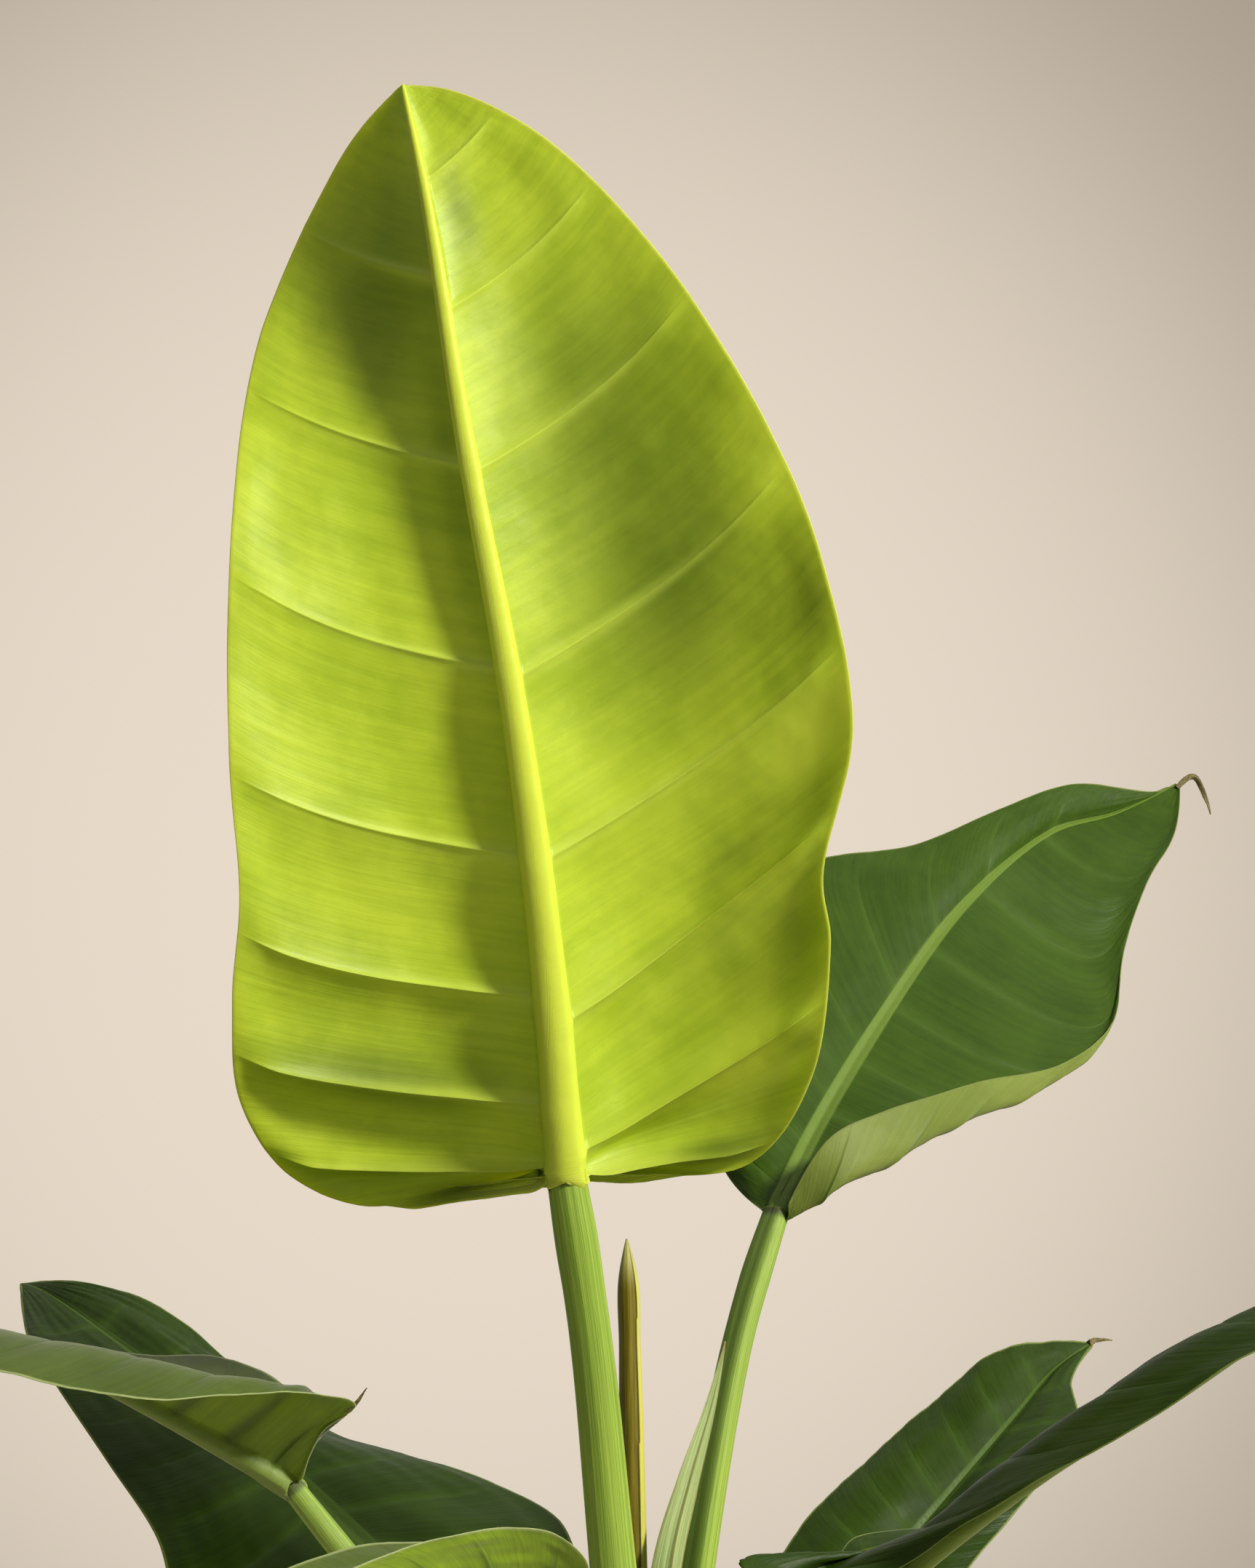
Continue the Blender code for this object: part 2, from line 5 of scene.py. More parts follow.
import bmesh
import bpy
import mathutils
import numpy as np
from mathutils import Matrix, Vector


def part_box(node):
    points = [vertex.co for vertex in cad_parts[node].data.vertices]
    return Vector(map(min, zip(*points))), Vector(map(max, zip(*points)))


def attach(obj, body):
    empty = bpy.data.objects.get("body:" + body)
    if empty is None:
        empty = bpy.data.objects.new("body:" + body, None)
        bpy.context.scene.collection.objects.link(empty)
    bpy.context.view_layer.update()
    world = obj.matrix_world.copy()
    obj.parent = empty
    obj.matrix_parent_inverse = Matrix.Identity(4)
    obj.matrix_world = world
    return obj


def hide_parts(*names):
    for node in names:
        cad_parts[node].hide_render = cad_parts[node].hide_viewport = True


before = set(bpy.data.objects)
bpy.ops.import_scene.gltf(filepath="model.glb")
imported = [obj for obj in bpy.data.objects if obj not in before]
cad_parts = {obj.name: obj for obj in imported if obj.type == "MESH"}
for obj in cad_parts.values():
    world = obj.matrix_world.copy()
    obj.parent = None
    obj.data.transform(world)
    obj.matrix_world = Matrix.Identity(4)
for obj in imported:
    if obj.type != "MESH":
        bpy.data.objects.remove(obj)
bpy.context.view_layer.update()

MM = 0.001
GAP = 0.0003
BODY = "root"
CROWN = np.array([0.0, 0.0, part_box("stem")[1].z + GAP])
STEM_RADIUS = 0.011
CLASP_LENGTH = 0.012
VEIN_CROWDING = 1.5
TOE_SOFTNESS = 0.04
SHEET_THICKNESS = 0.00045
RIB_COLUMNS = 8
SIDE_COLUMNS = 34
PETIOLE_IN_BLADE = 0.0012

# Each leaf: its petiole's route in millimetres from the middle of the stem's top, the petiole's radii at foot
# and top, and the blade's rails in millimetres from the petiole's top. A rail runs from base to tip.
# "left" and "right" are as seen from above with the tip ahead, each from the midrib outwards to the margin.
# "clasp" is the angle and the depth below the crown where a lower leaf holds the stem's side.
# "rib" is the midrib's width and height in millimetres at the blade's base. "fold" is the share of each half's
# width where its belly is deepest, and "toe" the place on each margin below which side veins fan from the foot.
LEAVES = {
    "top": {
        "colour": "young_leaf",
        "petiole": [(-1, -8, 0), (-4.5, -8, 51), (-9.5, -10, 103), (-15.5, -12, 143)],
        "radii": (6.2, 4.8),
        "midrib": [(0, 0, 0), (-5, -10, 56), (-12, -18, 110), (-23, -20, 171), (-32, -14, 226),
                   (-38, -8, 254.5)],
        "left": [
            [(4, 1, 1), (19, 8, 0), (42, 8, 2), (57, -4, 23), (61, -14, 55), (59, -15, 70), (66, -22, 105),
             (60, -24, 139), (48, -22, 171), (24, -16, 211), (-4, -11, 241), (-25, -9, 252.5),
             (-37, -7, 254.5)],
        ],
        "right": [
            [(-4, 1, 0), (-24, 14, -3), (-48, 20, -8), (-65, 14, -1), (-76, -2, 17), (-77, -14, 41),
             (-75, -20, 65), (-77, -24, 101), (-77, -18, 150), (-72, 2, 197), (-59, 10, 229),
             (-50, 6, 244), (-39, -7, 254)],
        ],
        "belly": (9, 3.5),
        "fold": (0.3, 0.12),
        "toe": (0.25, 0.235),
        "rib": (9.0, 5.5),
    },
    "right_rear_high": {
        "colour": "mature_leaf",
        "petiole": [(10.5, 6, 0), (14, 11, 40), (25, 30, 98), (35, 45, 129)],
        "radii": (5.0, 3.3),
        "midrib": [(0, 0, 0), (10, 23, 18), (28, 55, 44), (53, 95, 74), (79, 127, 93), (98, 143, 98),
                   (116, 155, 106)],
        "left": [
            [(-3, 1, 1), (-11, 15, 8), (-20, 30, 28), (-12, 60, 60), (9, 90, 84), (41, 105, 90),
             (64, 120, 99), (86, 137, 106), (110, 151, 104), (115.5, 155, 106)],
        ],
        "right": [
            [(3, -3, 0), (17, -5, 10), (30, 5, 14), (48, 25, 21), (65, 45, 26), (81, 65, 35), (89, 85, 46),
             (91, 105, 63), (99, 120, 79), (111, 140, 92), (116.5, 154, 105)],
            [(3, -4, 3), (13, -3, 19), (27, 7, 25), (39, 17, 28), (53, 32, 31), (75, 54, 34), (91, 80, 44),
             (96, 102, 61), (104, 120, 79), (114, 140, 93), (117, 154.5, 106)],
        ],
        "belly": (3, 0),
        "rib": (5.0, 3.5),
    },
    "left": {
        "colour": "mature_leaf",
        "clasp": (183, 26),
        "petiole": [(-34, -6, 16), (-65, -13, 53), (-79, -12, 70)],
        "radii": (4.6, 3.1),
        "midrib": [(0, 0, 0), (-9, -2, 6), (-29, -4, 18), (-48, -6, 28), (-68, -10, 36), (-92, -16, 41),
                   (-133, -24, 42), (-158, -28, 37)],
        "left": [
            [(1, -3, 2), (4, -7, 13), (4, -17, 25), (-1, -22, 27), (-19, -32, 31), (-40, -38, 36),
             (-64, -40, 40), (-97, -40, 46), (-131, -34, 45), (-157, -29, 38)],
            [(2, -4, 3), (7, -10, 15), (15, -14, 21), (5, -26, 26), (-12, -40, 27), (-27, -50, 27),
             (-49, -54, 31), (-62, -54, 34), (-95, -50, 38), (-130, -40, 39), (-157, -30, 37)],
        ],
        "right": [
            [(-1, 4, 2), (1, 18, 13), (-5, 34, 20), (-14, 48, 23), (-25, 58, 24), (-41, 62, 24),
             (-77, 58, 30), (-124, 22, 36), (-157, -27, 37)],
        ],
        "belly": (-3, -5),
        "rib": (5.0, 3.0),
    },
    "left_rear": {
        "colour": "mature_leaf",
        "clasp": (140, 20),
        "petiole": [(-34, 21, 22), (-55, 32, 40)],
        "radii": (4.6, 3.2),
        "midrib": [(0, 0, 0), (-11, 12, 9), (-40, 44, 29), (-74, 80, 47), (-102, 114, 60), (-109, 122, 61)],
        "left": [
            [(-2, -4, 0), (-14, -18, -20), (-32, -16, -24), (-54, 6, -11), (-63, 24, 8), (-77, 46, 23),
             (-93, 72, 39), (-103, 92, 49), (-109, 121, 61)],
        ],
        "right": [
            [(0, 5, 3), (14, 9, 3), (32, 4, -6), (44, 8, -2), (41, 14, 6), (35, 26, 13), (11, 40, 23),
             (-23, 60, 29), (-51, 82, 46), (-65, 94, 55), (-79, 104, 61), (-92, 110, 63), (-108, 122, 61)],
        ],
        "belly": (3, 3),
        "rib": (5.0, 3.0),
    },
    "left_front": {
        "colour": "mature_leaf",
        "clasp": (237, 30),
        "petiole": [(-13, -42, 26), (-16, -70, 51)],
        "radii": (4.6, 3.2),
        "midrib": [(0, 0, 0), (-19, -15, 7), (-42, -40, 8), (-69, -80, 1), (-89, -110, -12),
                   (-99, -130, -27)],
        "left": [
            [(2, -4, 3), (6, -14, 13), (-2, -20, 21), (-11, -26, 23), (-22, -36, 23), (-39, -52, 20),
             (-55, -70, 15), (-75, -98, 2), (-98, -130, -26)],
        ],
        "right": [
            [(-4, 1, 2), (-6, 18, 8), (-20, 26, 11), (-40, 20, 12), (-62, -6, 10), (-84, -50, 0),
             (-98, -100, -16), (-100, -129, -27)],
        ],
        "belly": (-2, -4),
        "rib": (5.0, 3.0),
    },
    "right_rear_low": {
        "colour": "mature_leaf",
        "clasp": (34, 24),
        "petiole": [(36, 30, 14), (48, 40, 26)],
        "radii": (4.6, 3.1),
        "midrib": [(0, 0, 0), (25, 26, 24), (51, 60, 47), (62, 78, 56), (73, 90, 62)],
        "left": [
            [(-2, 3, 1), (-19, 4, 1), (-13, 16, 15), (5, 36, 33), (25, 56, 47), (44, 74, 60), (61, 84, 63),
             (72, 90, 62)],
        ],
        "right": [
            [(3, -2, 0), (18, -8, -6), (35, 8, 16), (54, 32, 33), (66, 56, 45), (66, 72, 54), (73, 89, 61)],
        ],
        "belly": (3, 3),
        "rib": (4.5, 3.0),
    },
    "right": {
        "colour": "mature_leaf",
        "clasp": (-26, 28),
        "petiole": [(34, -22, 26), (52, -34, 45)],
        "radii": (4.6, 3.2),
        "midrib": [(0, 0, 0), (19, -10, 18), (43, -18, 37), (67, -24, 52), (99, -30, 73), (131, -34, 83),
                   (155, -36, 82)],
        "left": [
            [(2, 4, 1), (-4, 16, 6), (-1, 26, 12), (10, 32, 14), (25, 34, 15), (48, 26, 34), (80, 16, 60),
             (115, 2, 74), (154, -35, 82)],
        ],
        "right": [
            [(1, -3, 1), (-18, -20, 8), (-28, -26, 16), (-19, -24, 13), (-8, -18, 13), (12, -26, 23),
             (31, -32, 39), (48, -38, 52), (67, -42, 65), (85, -46, 74), (120, -46, 84), (155, -37, 83)],
            [(2, -4, 0), (-16, -24, 4), (-30, -32, 12), (-20, -34, 10), (-6, -30, 8), (8, -30, 15),
             (23, -42, 28), (38, -50, 38), (57, -56, 49), (83, -60, 67), (120, -56, 76), (155, -38, 82)],
        ],
        "belly": (-3, -3),
        "rib": (5.0, 3.0),
    },
    "right_front": {
        "colour": "old_leaf",
        "clasp": (-66, 36),
        "petiole": [(17, -33, 0), (24, -44, 10)],
        "radii": (4.4, 3.2),
        "midrib": [(0, 0, 0), (14, -22, 6), (34, -52, 4), (54, -84, -10), (68, -108, -30), (76, -122, -46)],
        "left": [
            [(3, 1, 0), (26, 10, -4), (44, -6, -4), (58, -32, -4), (70, -62, -12), (78, -92, -26),
             (77, -121, -45)],
        ],
        "right": [
            [(-3, -2, 0), (-16, -24, -2), (-16, -46, 0), (0, -72, -2), (24, -100, -14), (52, -120, -32),
             (75, -122, -46)],
        ],
        "belly": (3, 3),
        "rib": (5.0, 3.0),
    },
    "rear": {
        "colour": "old_leaf",
        "clasp": (95, 34),
        "petiole": [(2, 34, 6), (4, 46, 18)],
        "radii": (4.4, 3.2),
        "midrib": [(0, 0, 0), (2, 30, 6), (4, 70, 4), (6, 110, -10), (6, 150, -36), (6, 172, -54)],
        "left": [
            [(-4, 1, 1), (-26, -14, -2), (-44, 6, 0), (-46, 40, 4), (-44, 80, 0), (-32, 120, -16),
             (-12, 156, -42), (5, 171, -54)],
        ],
        "right": [
            [(4, 1, 1), (28, -12, -4), (48, 8, -4), (54, 42, 0), (50, 82, -4), (38, 122, -20),
             (18, 158, -44), (7, 171, -54)],
        ],
        "belly": (3, 3),
        "rib": (5.0, 3.0),
    },
}

# The rolled young leaf and the sheath beside it, in millimetres from the middle of the stem's top.
SPEAR_ROUTE = [(0.5, 3.5, 0), (0, 4, 49), (-1, 5, 108), (-1.5, 5, 127)]
SPEAR_RADII = [3.4, 3.4, 2.9, 2.5, 0.25]
SPEAR_KNOTS = [0, 0.4, 0.8, 0.93, 1]
CATAPHYLL_SPINE = [(7.0, -0.6, 0), (8.0, 0.5, 48), (12.5, 6, 68), (18, 13, 86), (22, 19, 101)]

# Dried leaf tips: name, route in millimetres from the middle of the stem's top, and radii in millimetres.
DRIED_TIPS = [
    ("tip_right_rear_high", [(151, 198.5, 234), (156, 200, 237), (159.5, 200, 230), (160.5, 200, 226.5)],
     (0.6, 0.75, 0.6, 0.15)),
    ("tip_left", [(-66.5, -25, 90), (-64, -26, 92), (-61.5, -26.5, 95.5)], (0.6, 0.4, 0.1)),
    ("tip_right_rear_low", [(120, 129, 88), (123, 131, 88.6), (126.5, 132, 88.3)], (0.8, 0.5, 0.12)),
]

POT_HEIGHT = 0.150
POT_RIM_RADIUS = 0.090
POT_BASE_RADIUS = 0.066
POT_WALL = 0.006
POT_FLOOR = 0.009
POT_LIP_HEIGHT = 0.016
DRAIN_COUNT = 4
DRAIN_RADIUS = 0.005
DRAIN_REACH = 0.036

# What lies on the soil: kind, number, smallest and largest half length in metres, and thickness by length.
CHIPS = [("bark", 420, (0.0022, 0.0062), 0.34), ("perlite", 150, (0.0011, 0.0022), 0.8)]
SCARS_BELOW_CROWN = (0.004, 0.012, 0.019, 0.027, 0.034, 0.043)

# The backdrop's painted light: bright in its middle, falling off to darker edges and corners.
BACKDROP_PAINTED_LIGHT = (0.80, 0.70, 0.585)
BACKDROP_PAINTED_FALLOFF = (0.40, 0.345, 0.27)
LIGHT_TARGET = (0.0, 0.0, 0.42)
BACKDROP_AIM = (-0.031, -0.020)
FLOOR_SOLID = 0.45
FLOOR_FADED = 1.05
FLOOR_RADIUS = 1.1
SOFT_LIGHT = (0.04, 0.55)
LIGHTS = (
    ("sun_window", (1.5, -1.05, 1.5), 0.35, 62.0, (1.0, 0.96, 0.88)),
    ("front_fill", (-1.1, -1.6, 1.1), 1.4, 2.0, (0.96, 0.98, 1.0)),
)
CAMERA_PLACE = (-0.0013, -1.150, 0.421)
CAMERA_LENS = 111.64

# How each leaf's surface is finished: rows of faces, the places where its main side veins meet the left and
# the right margin, the swelling between veins in millimetres and how much more of it there is at the base, the
# margin's waves as height and number, the veins' height, how far veins turn up at the margin, the width in
# millimetres of the calm strip inside the margin, slow unevenness in millimetres, and its skin.
# "tones" are painted light and painted shade on the lower face: lighter patches stand in for light falling on it,
# darker ones for shade and cast shadows. Columns: side (-1 left, 1 right), middle across and along, widths across
# and along, and strength.
LOOKS = {
    "top": {
        "rows": 330,
        "veins": (
            [0.13, 0.235, 0.35, 0.465, 0.59, 0.73, 0.84, 0.93],
            [0.12, 0.20, 0.28, 0.36, 0.46, 0.59, 0.73, 0.86],
        ),
        "quilt": 1.7,
        "wave": (0.5, 4),
        "ridge": 0.5,
        "upturn": 0.035,
        "base_quilt": 2.4,
        "calm_edge": 12,
        "tones": [
            (-1, 0.52, 0.71, 0.42, 0.14, -0.68),
            (-1, 0.55, 0.56, 0.35, 0.08, -0.45),
            (-1, 0.95, 0.60, 0.10, 0.03, 0.6),
            (-1, 0.97, 0.64, 0.09, 0.02, 0.5),
            (-1, 0.85, 0.43, 0.16, 0.045, 0.95),
            (-1, 0.70, 0.385, 0.22, 0.022, -0.50),
            (-1, 0.95, 0.50, 0.12, 0.03, -0.40),
            (-1, 0.68, 0.235, 0.16, 0.045, 0.9),
            (-1, 0.92, 0.29, 0.12, 0.035, -0.45),
            (-1, 0.75, 0.13, 0.28, 0.025, -0.85),
            (-1, 0.88, 0.20, 0.10, 0.015, 0.5),
            (-1, 0.25, 0.90, 0.15, 0.06, -0.45),
            (-1, 0.50, 0.94, 0.30, 0.04, -0.12),
            (1, 0.45, 0.81, 0.45, 0.07, -0.50),
            (1, 0.45, 0.90, 0.60, 0.06, -0.30),
            (1, 0.10, 0.70, 0.10, 0.12, -0.40),
            (1, 0.55, 0.285, 0.40, 0.028, -0.75),
            (1, 0.70, 0.375, 0.32, 0.03, -0.30),
            (1, 0.55, 0.185, 0.32, 0.020, -0.75),
            (1, 0.60, 0.13, 0.25, 0.018, -0.60),
            (1, 0.85, 0.225, 0.12, 0.03, 0.5),
        ],
        "material": "young_leaf",
    },
    "right_rear_high": {"quilt": 0.5, "wave": (0.1, 3), "drift": 0.2},
    "left": {"quilt": 0.4, "wave": (0.3, 4), "drift": 0.3, "material": "waxy_leaf"},
    "left_rear": {"quilt": 0.4, "wave": (0.4, 4), "ridge": 0.15, "material": "shaded_leaf"},
    "left_front": {"quilt": 0.4, "wave": (0.3, 4), "material": "waxy_leaf"},
    "right_rear_low": {"quilt": 0.5, "wave": (0.4, 4), "ridge": 0.15, "material": "shaded_leaf"},
    "right": {"quilt": 0.5, "wave": (0.4, 4), "material": "shaded_leaf"},
    "right_front": {"material": "old_leaf"},
    "rear": {"material": "old_leaf"},
}
DEFAULT_LOOK = {
    "rows": 200,
    "veins": (
        [0.12, 0.24, 0.34, 0.44, 0.54, 0.64, 0.74, 0.85],
        [0.10, 0.22, 0.32, 0.42, 0.52, 0.62, 0.73, 0.84],
    ),
    "quilt": 0.8,
    "wave": (0.7, 5),
    "ridge": 0.3,
    "upturn": 0.05,
    "base_quilt": 0.5,
    "calm_edge": 22,
    "drift": 0.55,
    "material": "mature_leaf",
}


# The skins of leaves: light and dark colour of each face, the midrib above and below, veins, and the blade's edge.
# "through" is how far light passes into the blade, "gloss" its roughness, "shine" its specular level, and "bloom"
# the strength of a waxy sheen, which also widens the pale edge band.
LEAF_SKINS = {
    "young_leaf": {
        "upper": (0.47, 0.60, 0.030), "upper_dark": (0.34, 0.47, 0.016),
        "lower": (0.50, 0.63, 0.036), "lower_dark": (0.36, 0.49, 0.020),
        "rib": (0.60, 0.70, 0.06), "rib_below": (0.60, 0.70, 0.06), "vein": (0.52, 0.64, 0.08),
        "edge": (0.48, 0.57, 0.06), "through": 0.5, "gloss": 0.42, "shine": 0.35,
    },
    "mature_leaf": {
        "upper": (0.043, 0.092, 0.0035), "upper_dark": (0.028, 0.064, 0.002),
        "lower": (0.19, 0.24, 0.045), "lower_dark": (0.14, 0.19, 0.03),
        "rib": (0.13, 0.21, 0.03), "rib_below": (0.20, 0.28, 0.05), "vein": (0.055, 0.11, 0.010),
        "edge": (0.16, 0.20, 0.05), "through": 0.12, "gloss": 0.42, "shine": 0.2,
    },
    "old_leaf": {
        "upper": (0.034, 0.078, 0.004), "upper_dark": (0.022, 0.052, 0.003),
        "lower": (0.11, 0.15, 0.035), "lower_dark": (0.085, 0.12, 0.024),
        "rib": (0.12, 0.18, 0.04), "rib_below": (0.17, 0.23, 0.05), "vein": (0.05, 0.10, 0.014),
        "edge": (0.16, 0.18, 0.05), "through": 0.12, "gloss": 0.44, "shine": 0.2,
    },
    # A copy of mature_leaf with darker colours: painted shade for the leaves that sit in shade.
    "shaded_leaf": {
        "upper": (0.027, 0.058, 0.002), "upper_dark": (0.017, 0.040, 0.0015),
        "lower": (0.17, 0.25, 0.012), "lower_dark": (0.12, 0.19, 0.008),
        "rib": (0.055, 0.105, 0.012), "rib_below": (0.20, 0.28, 0.05), "vein": (0.040, 0.085, 0.006),
        "edge": (0.15, 0.20, 0.05), "through": 0.12, "gloss": 0.42, "shine": 0.2,
    },
    # Its upper colours are lightened to grey green as painted sheen, on top of the shader's own sheen; its pale
    # edge is partly a painted rim highlight.
    "waxy_leaf": {
        "upper": (0.085, 0.128, 0.018), "upper_dark": (0.060, 0.094, 0.011),
        "lower": (0.22, 0.33, 0.012), "lower_dark": (0.15, 0.24, 0.008),
        "rib": (0.055, 0.105, 0.012), "rib_below": (0.20, 0.28, 0.05), "vein": (0.045, 0.085, 0.009),
        "edge": (0.28, 0.34, 0.14), "through": 0.4, "gloss": 0.45, "shine": 0.3, "bloom": 0.35,
    },
}


def hermite(a, b, from_a, to_b, u):
    """A cubic from a to b that leaves a by from_a and reaches b by to_b, at u from 0 to 1."""
    return (
        a * (2 * u**3 - 3 * u**2 + 1)
        + from_a * (u**3 - 2 * u**2 + u)
        + b * (3 * u**2 - 2 * u**3)
        + to_b * (u**3 - u**2)
    )


def smooth_through(points, knots, at):
    """Values at the places in at, on a smooth curve that passes points[i] at knots[i]."""
    points = np.asarray(points, float)
    knots = np.asarray(knots, float)
    at = np.clip(np.asarray(at, float), knots[0], knots[-1])
    steps = np.diff(knots)[:, None]
    slopes = np.diff(points, axis=0) / steps
    tangents = np.empty_like(points)
    tangents[0] = slopes[0]
    tangents[-1] = slopes[-1]
    if len(steps) > 1:
        weight = steps[1:] / (steps[:-1] + steps[1:])
        tangents[1:-1] = slopes[:-1] * weight + slopes[1:] * (1 - weight)
        tangents[0] = 1.5 * slopes[0] - 0.5 * tangents[1]
        tangents[-1] = 1.5 * slopes[-1] - 0.5 * tangents[-2]
    i = np.clip(np.searchsorted(knots, at, side="right") - 1, 0, len(steps) - 1)
    width = steps[i]
    u = (at - knots[i])[..., None] / width
    return hermite(points[i], points[i + 1], tangents[i] * width, tangents[i + 1] * width, u)


def along(points, fractions, samples=400):
    """Positions at fractions of the length of a smooth curve through the points."""
    points = np.asarray(points, float)
    spacing = np.sqrt(np.linalg.norm(np.diff(points, axis=0), axis=1))
    knots = np.concatenate([[0.0], np.cumsum(spacing)])
    places = np.linspace(0, knots[-1], samples)
    curve = smooth_through(points, knots, places)
    length = np.concatenate([[0.0], np.cumsum(np.linalg.norm(np.diff(curve, axis=0), axis=1))])
    wanted = np.interp(np.asarray(fractions) * length[-1], length, places)
    return smooth_through(points, knots, wanted)


def from_crown(points):
    """Points in millimetres from the middle of the stem's top, as points in metres."""
    return [CROWN + np.array(point) * MM for point in points]


def unit(vectors):
    return vectors / np.maximum(np.linalg.norm(vectors, axis=-1, keepdims=True), 1e-12)


def ease(x):
    """0 below 0, 1 above 1, and smooth between."""
    x = np.clip(x, 0, 1)
    return x * x * (3 - 2 * x)


def waves(x, y, seed, octaves=3):
    """A smooth wandering value of about -1 to 1, the same each run."""
    total = np.zeros(np.broadcast(x, y).shape)
    for k in range(octaves):
        for m in range(3):
            phase = math.sin(seed * 12.9898 + k * 78.233 + m * 37.719) * 43758.5453 % 1.0 * 2 * math.pi
            turn = math.sin(seed * 3.17 + k * 1.7 + m * 2.9) * math.pi
            way = x * math.cos(turn) + y * math.sin(turn)
            total = total + np.sin(way * 2.1**k * 2 * math.pi + phase) / 1.7**k
    return total / 4.5


def midrib_place(margin_place, toe=None):
    """Where the side vein that ends at a place on the margin leaves the midrib; below toe, near its foot."""
    margin_place = np.clip(margin_place, 0, 1)
    if toe is None:
        return margin_place**VEIN_CROWDING

    def rise(x):
        return np.sqrt((x - toe) ** 2 + TOE_SOFTNESS**2) + x - toe
    return (rise(margin_place) - rise(0)) / (rise(1) - rise(0))


def vein_rows(rows, veins, closeness=0.0035, pull=9.0):
    """Row places from 0 to 1, closer together at the veins so that each vein is a true ridge."""
    fine = np.linspace(0, 1, 6001)
    density = np.ones_like(fine)
    for vein in veins:
        density += pull * np.exp(-(((fine - vein) / closeness) ** 2))
        density += 0.25 * pull * np.exp(-(((fine - vein) / (3 * closeness)) ** 2))
    for end in (0, 1):
        density += 3.0 * np.exp(-(((fine - end) / 0.01) ** 2))
    total = np.concatenate([[0.0], np.cumsum((density[1:] + density[:-1]) / 2)])
    return np.interp(np.linspace(0, 1, rows + 1), total / total[-1], fine)


def half_blade(leaf, side, place, t):
    """Points of half a blade in millimetres, for places along the margin and shares t from midrib to margin."""
    rails = leaf[side]
    start = midrib_place(place, leaf["toe"][side == "right"] if "toe" in leaf else None)
    midrib = along(leaf["midrib"], start)
    ahead, behind = (along(leaf["midrib"], np.clip(start + step, 0, 1)) for step in (0.01, -0.01))
    onward = unit(ahead - behind)
    lines = [midrib]
    for number, rail in enumerate(rails):
        outward = (number + 1) / len(rails)
        crowding = VEIN_CROWDING * (1 - outward) + outward
        lines.append(along(rail, np.clip(place, 0, 1) ** crowding))
    if len(rails) == 1:
        belly = -leaf["belly"][0] if side == "left" else leaf["belly"][1]
        across = lines[1] - lines[0]
        bulge = unit(np.cross(across, onward))
        swell = np.sin(np.pi * np.clip(place, 0, 1) ** 0.8)[..., None]
        fold = leaf.get("fold", (0.5, 0.5))[0 if side == "left" else 1]
        lines.insert(1, lines[0] + across * fold + bulge * swell * belly)
    spans = [np.linalg.norm(b - a, axis=-1).mean() for a, b in zip(lines, lines[1:])]
    knots = np.concatenate([[0.0], np.cumsum(spans)]) / sum(spans)
    return across_rails(lines, knots, t), start


def across_rails(lines, knots, t):
    """Smooth interpolation between grids of points, lines[i] standing at knots[i], at each point's own t."""
    slopes = [(b - a) / (k1 - k0) for a, b, k0, k1 in zip(lines, lines[1:], knots, knots[1:])]
    tangents = [slopes[0]] + [
        s0 * (k2 - k1) / (k2 - k0) + s1 * (k1 - k0) / (k2 - k0)
        for s0, s1, k0, k1, k2 in zip(slopes, slopes[1:], knots, knots[1:], knots[2:])
    ] + [slopes[-1]]
    if len(slopes) > 1:
        tangents[0] = 1.5 * slopes[0] - 0.5 * tangents[1]
        tangents[-1] = 1.5 * slopes[-1] - 0.5 * tangents[-2]
    result = np.zeros_like(lines[0])
    for i in range(len(slopes)):
        low = knots[i] if i else -1.0
        high = knots[i + 1] if i < len(slopes) - 1 else 2.0
        inside = (t >= low) & (t < high)
        width = knots[i + 1] - knots[i]
        u = ((t - knots[i]) / width)[..., None]
        piece = hermite(lines[i], lines[i + 1], tangents[i] * width, tangents[i + 1] * width, u)
        result[inside] = piece[inside]
    return result


def tube_faces(rings, sides):
    """Faces of a closed tube whose vertices are numbered ring by ring."""
    index = np.arange((rings + 1) * sides).reshape(rings + 1, sides)
    beside = np.roll(index, -1, axis=1)
    faces = np.stack([index[:-1], beside[:-1], beside[1:], index[1:]], -1).reshape(-1, 4).tolist()
    return faces + [index[0, ::-1].tolist(), index[-1].tolist()]


def sheet_faces(shape):
    """Faces of a sheet of points numbered row by row, and the point numbers round its edge."""
    index = np.arange(shape[0] * shape[1]).reshape(shape[:2])
    quads = np.stack([index[:-1, :-1], index[1:, :-1], index[1:, 1:], index[:-1, 1:]], -1).reshape(-1, 4)
    rim = np.concatenate([index[:, 0], index[-1, 1:], index[-2::-1, -1], index[0, -2:0:-1]])
    return quads, rim


def add_mesh(name, verts, faces, material, crease_degrees=60, attributes=None):
    """A smooth-shaded mesh that rides with the plant, with point attributes for its material."""
    mesh = bpy.data.meshes.new(name)
    mesh.from_pydata(np.asarray(verts, float).tolist(), [], [tuple(f) for f in faces])
    for key, values in (attributes or {}).items():
        values = np.asarray(values, np.float32)
        kind = "FLOAT_VECTOR" if values.ndim == 2 else "FLOAT"
        slot = mesh.attributes.new(key, kind, "POINT")
        slot.data.foreach_set("vector" if values.ndim == 2 else "value", values.ravel())
    mesh.shade_smooth()
    if crease_degrees:
        mesh.set_sharp_from_angle(angle=math.radians(crease_degrees))
    mesh.materials.append(material)
    made = bpy.data.objects.new(name, mesh)
    bpy.context.scene.collection.objects.link(made)
    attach(made, BODY)
    return made


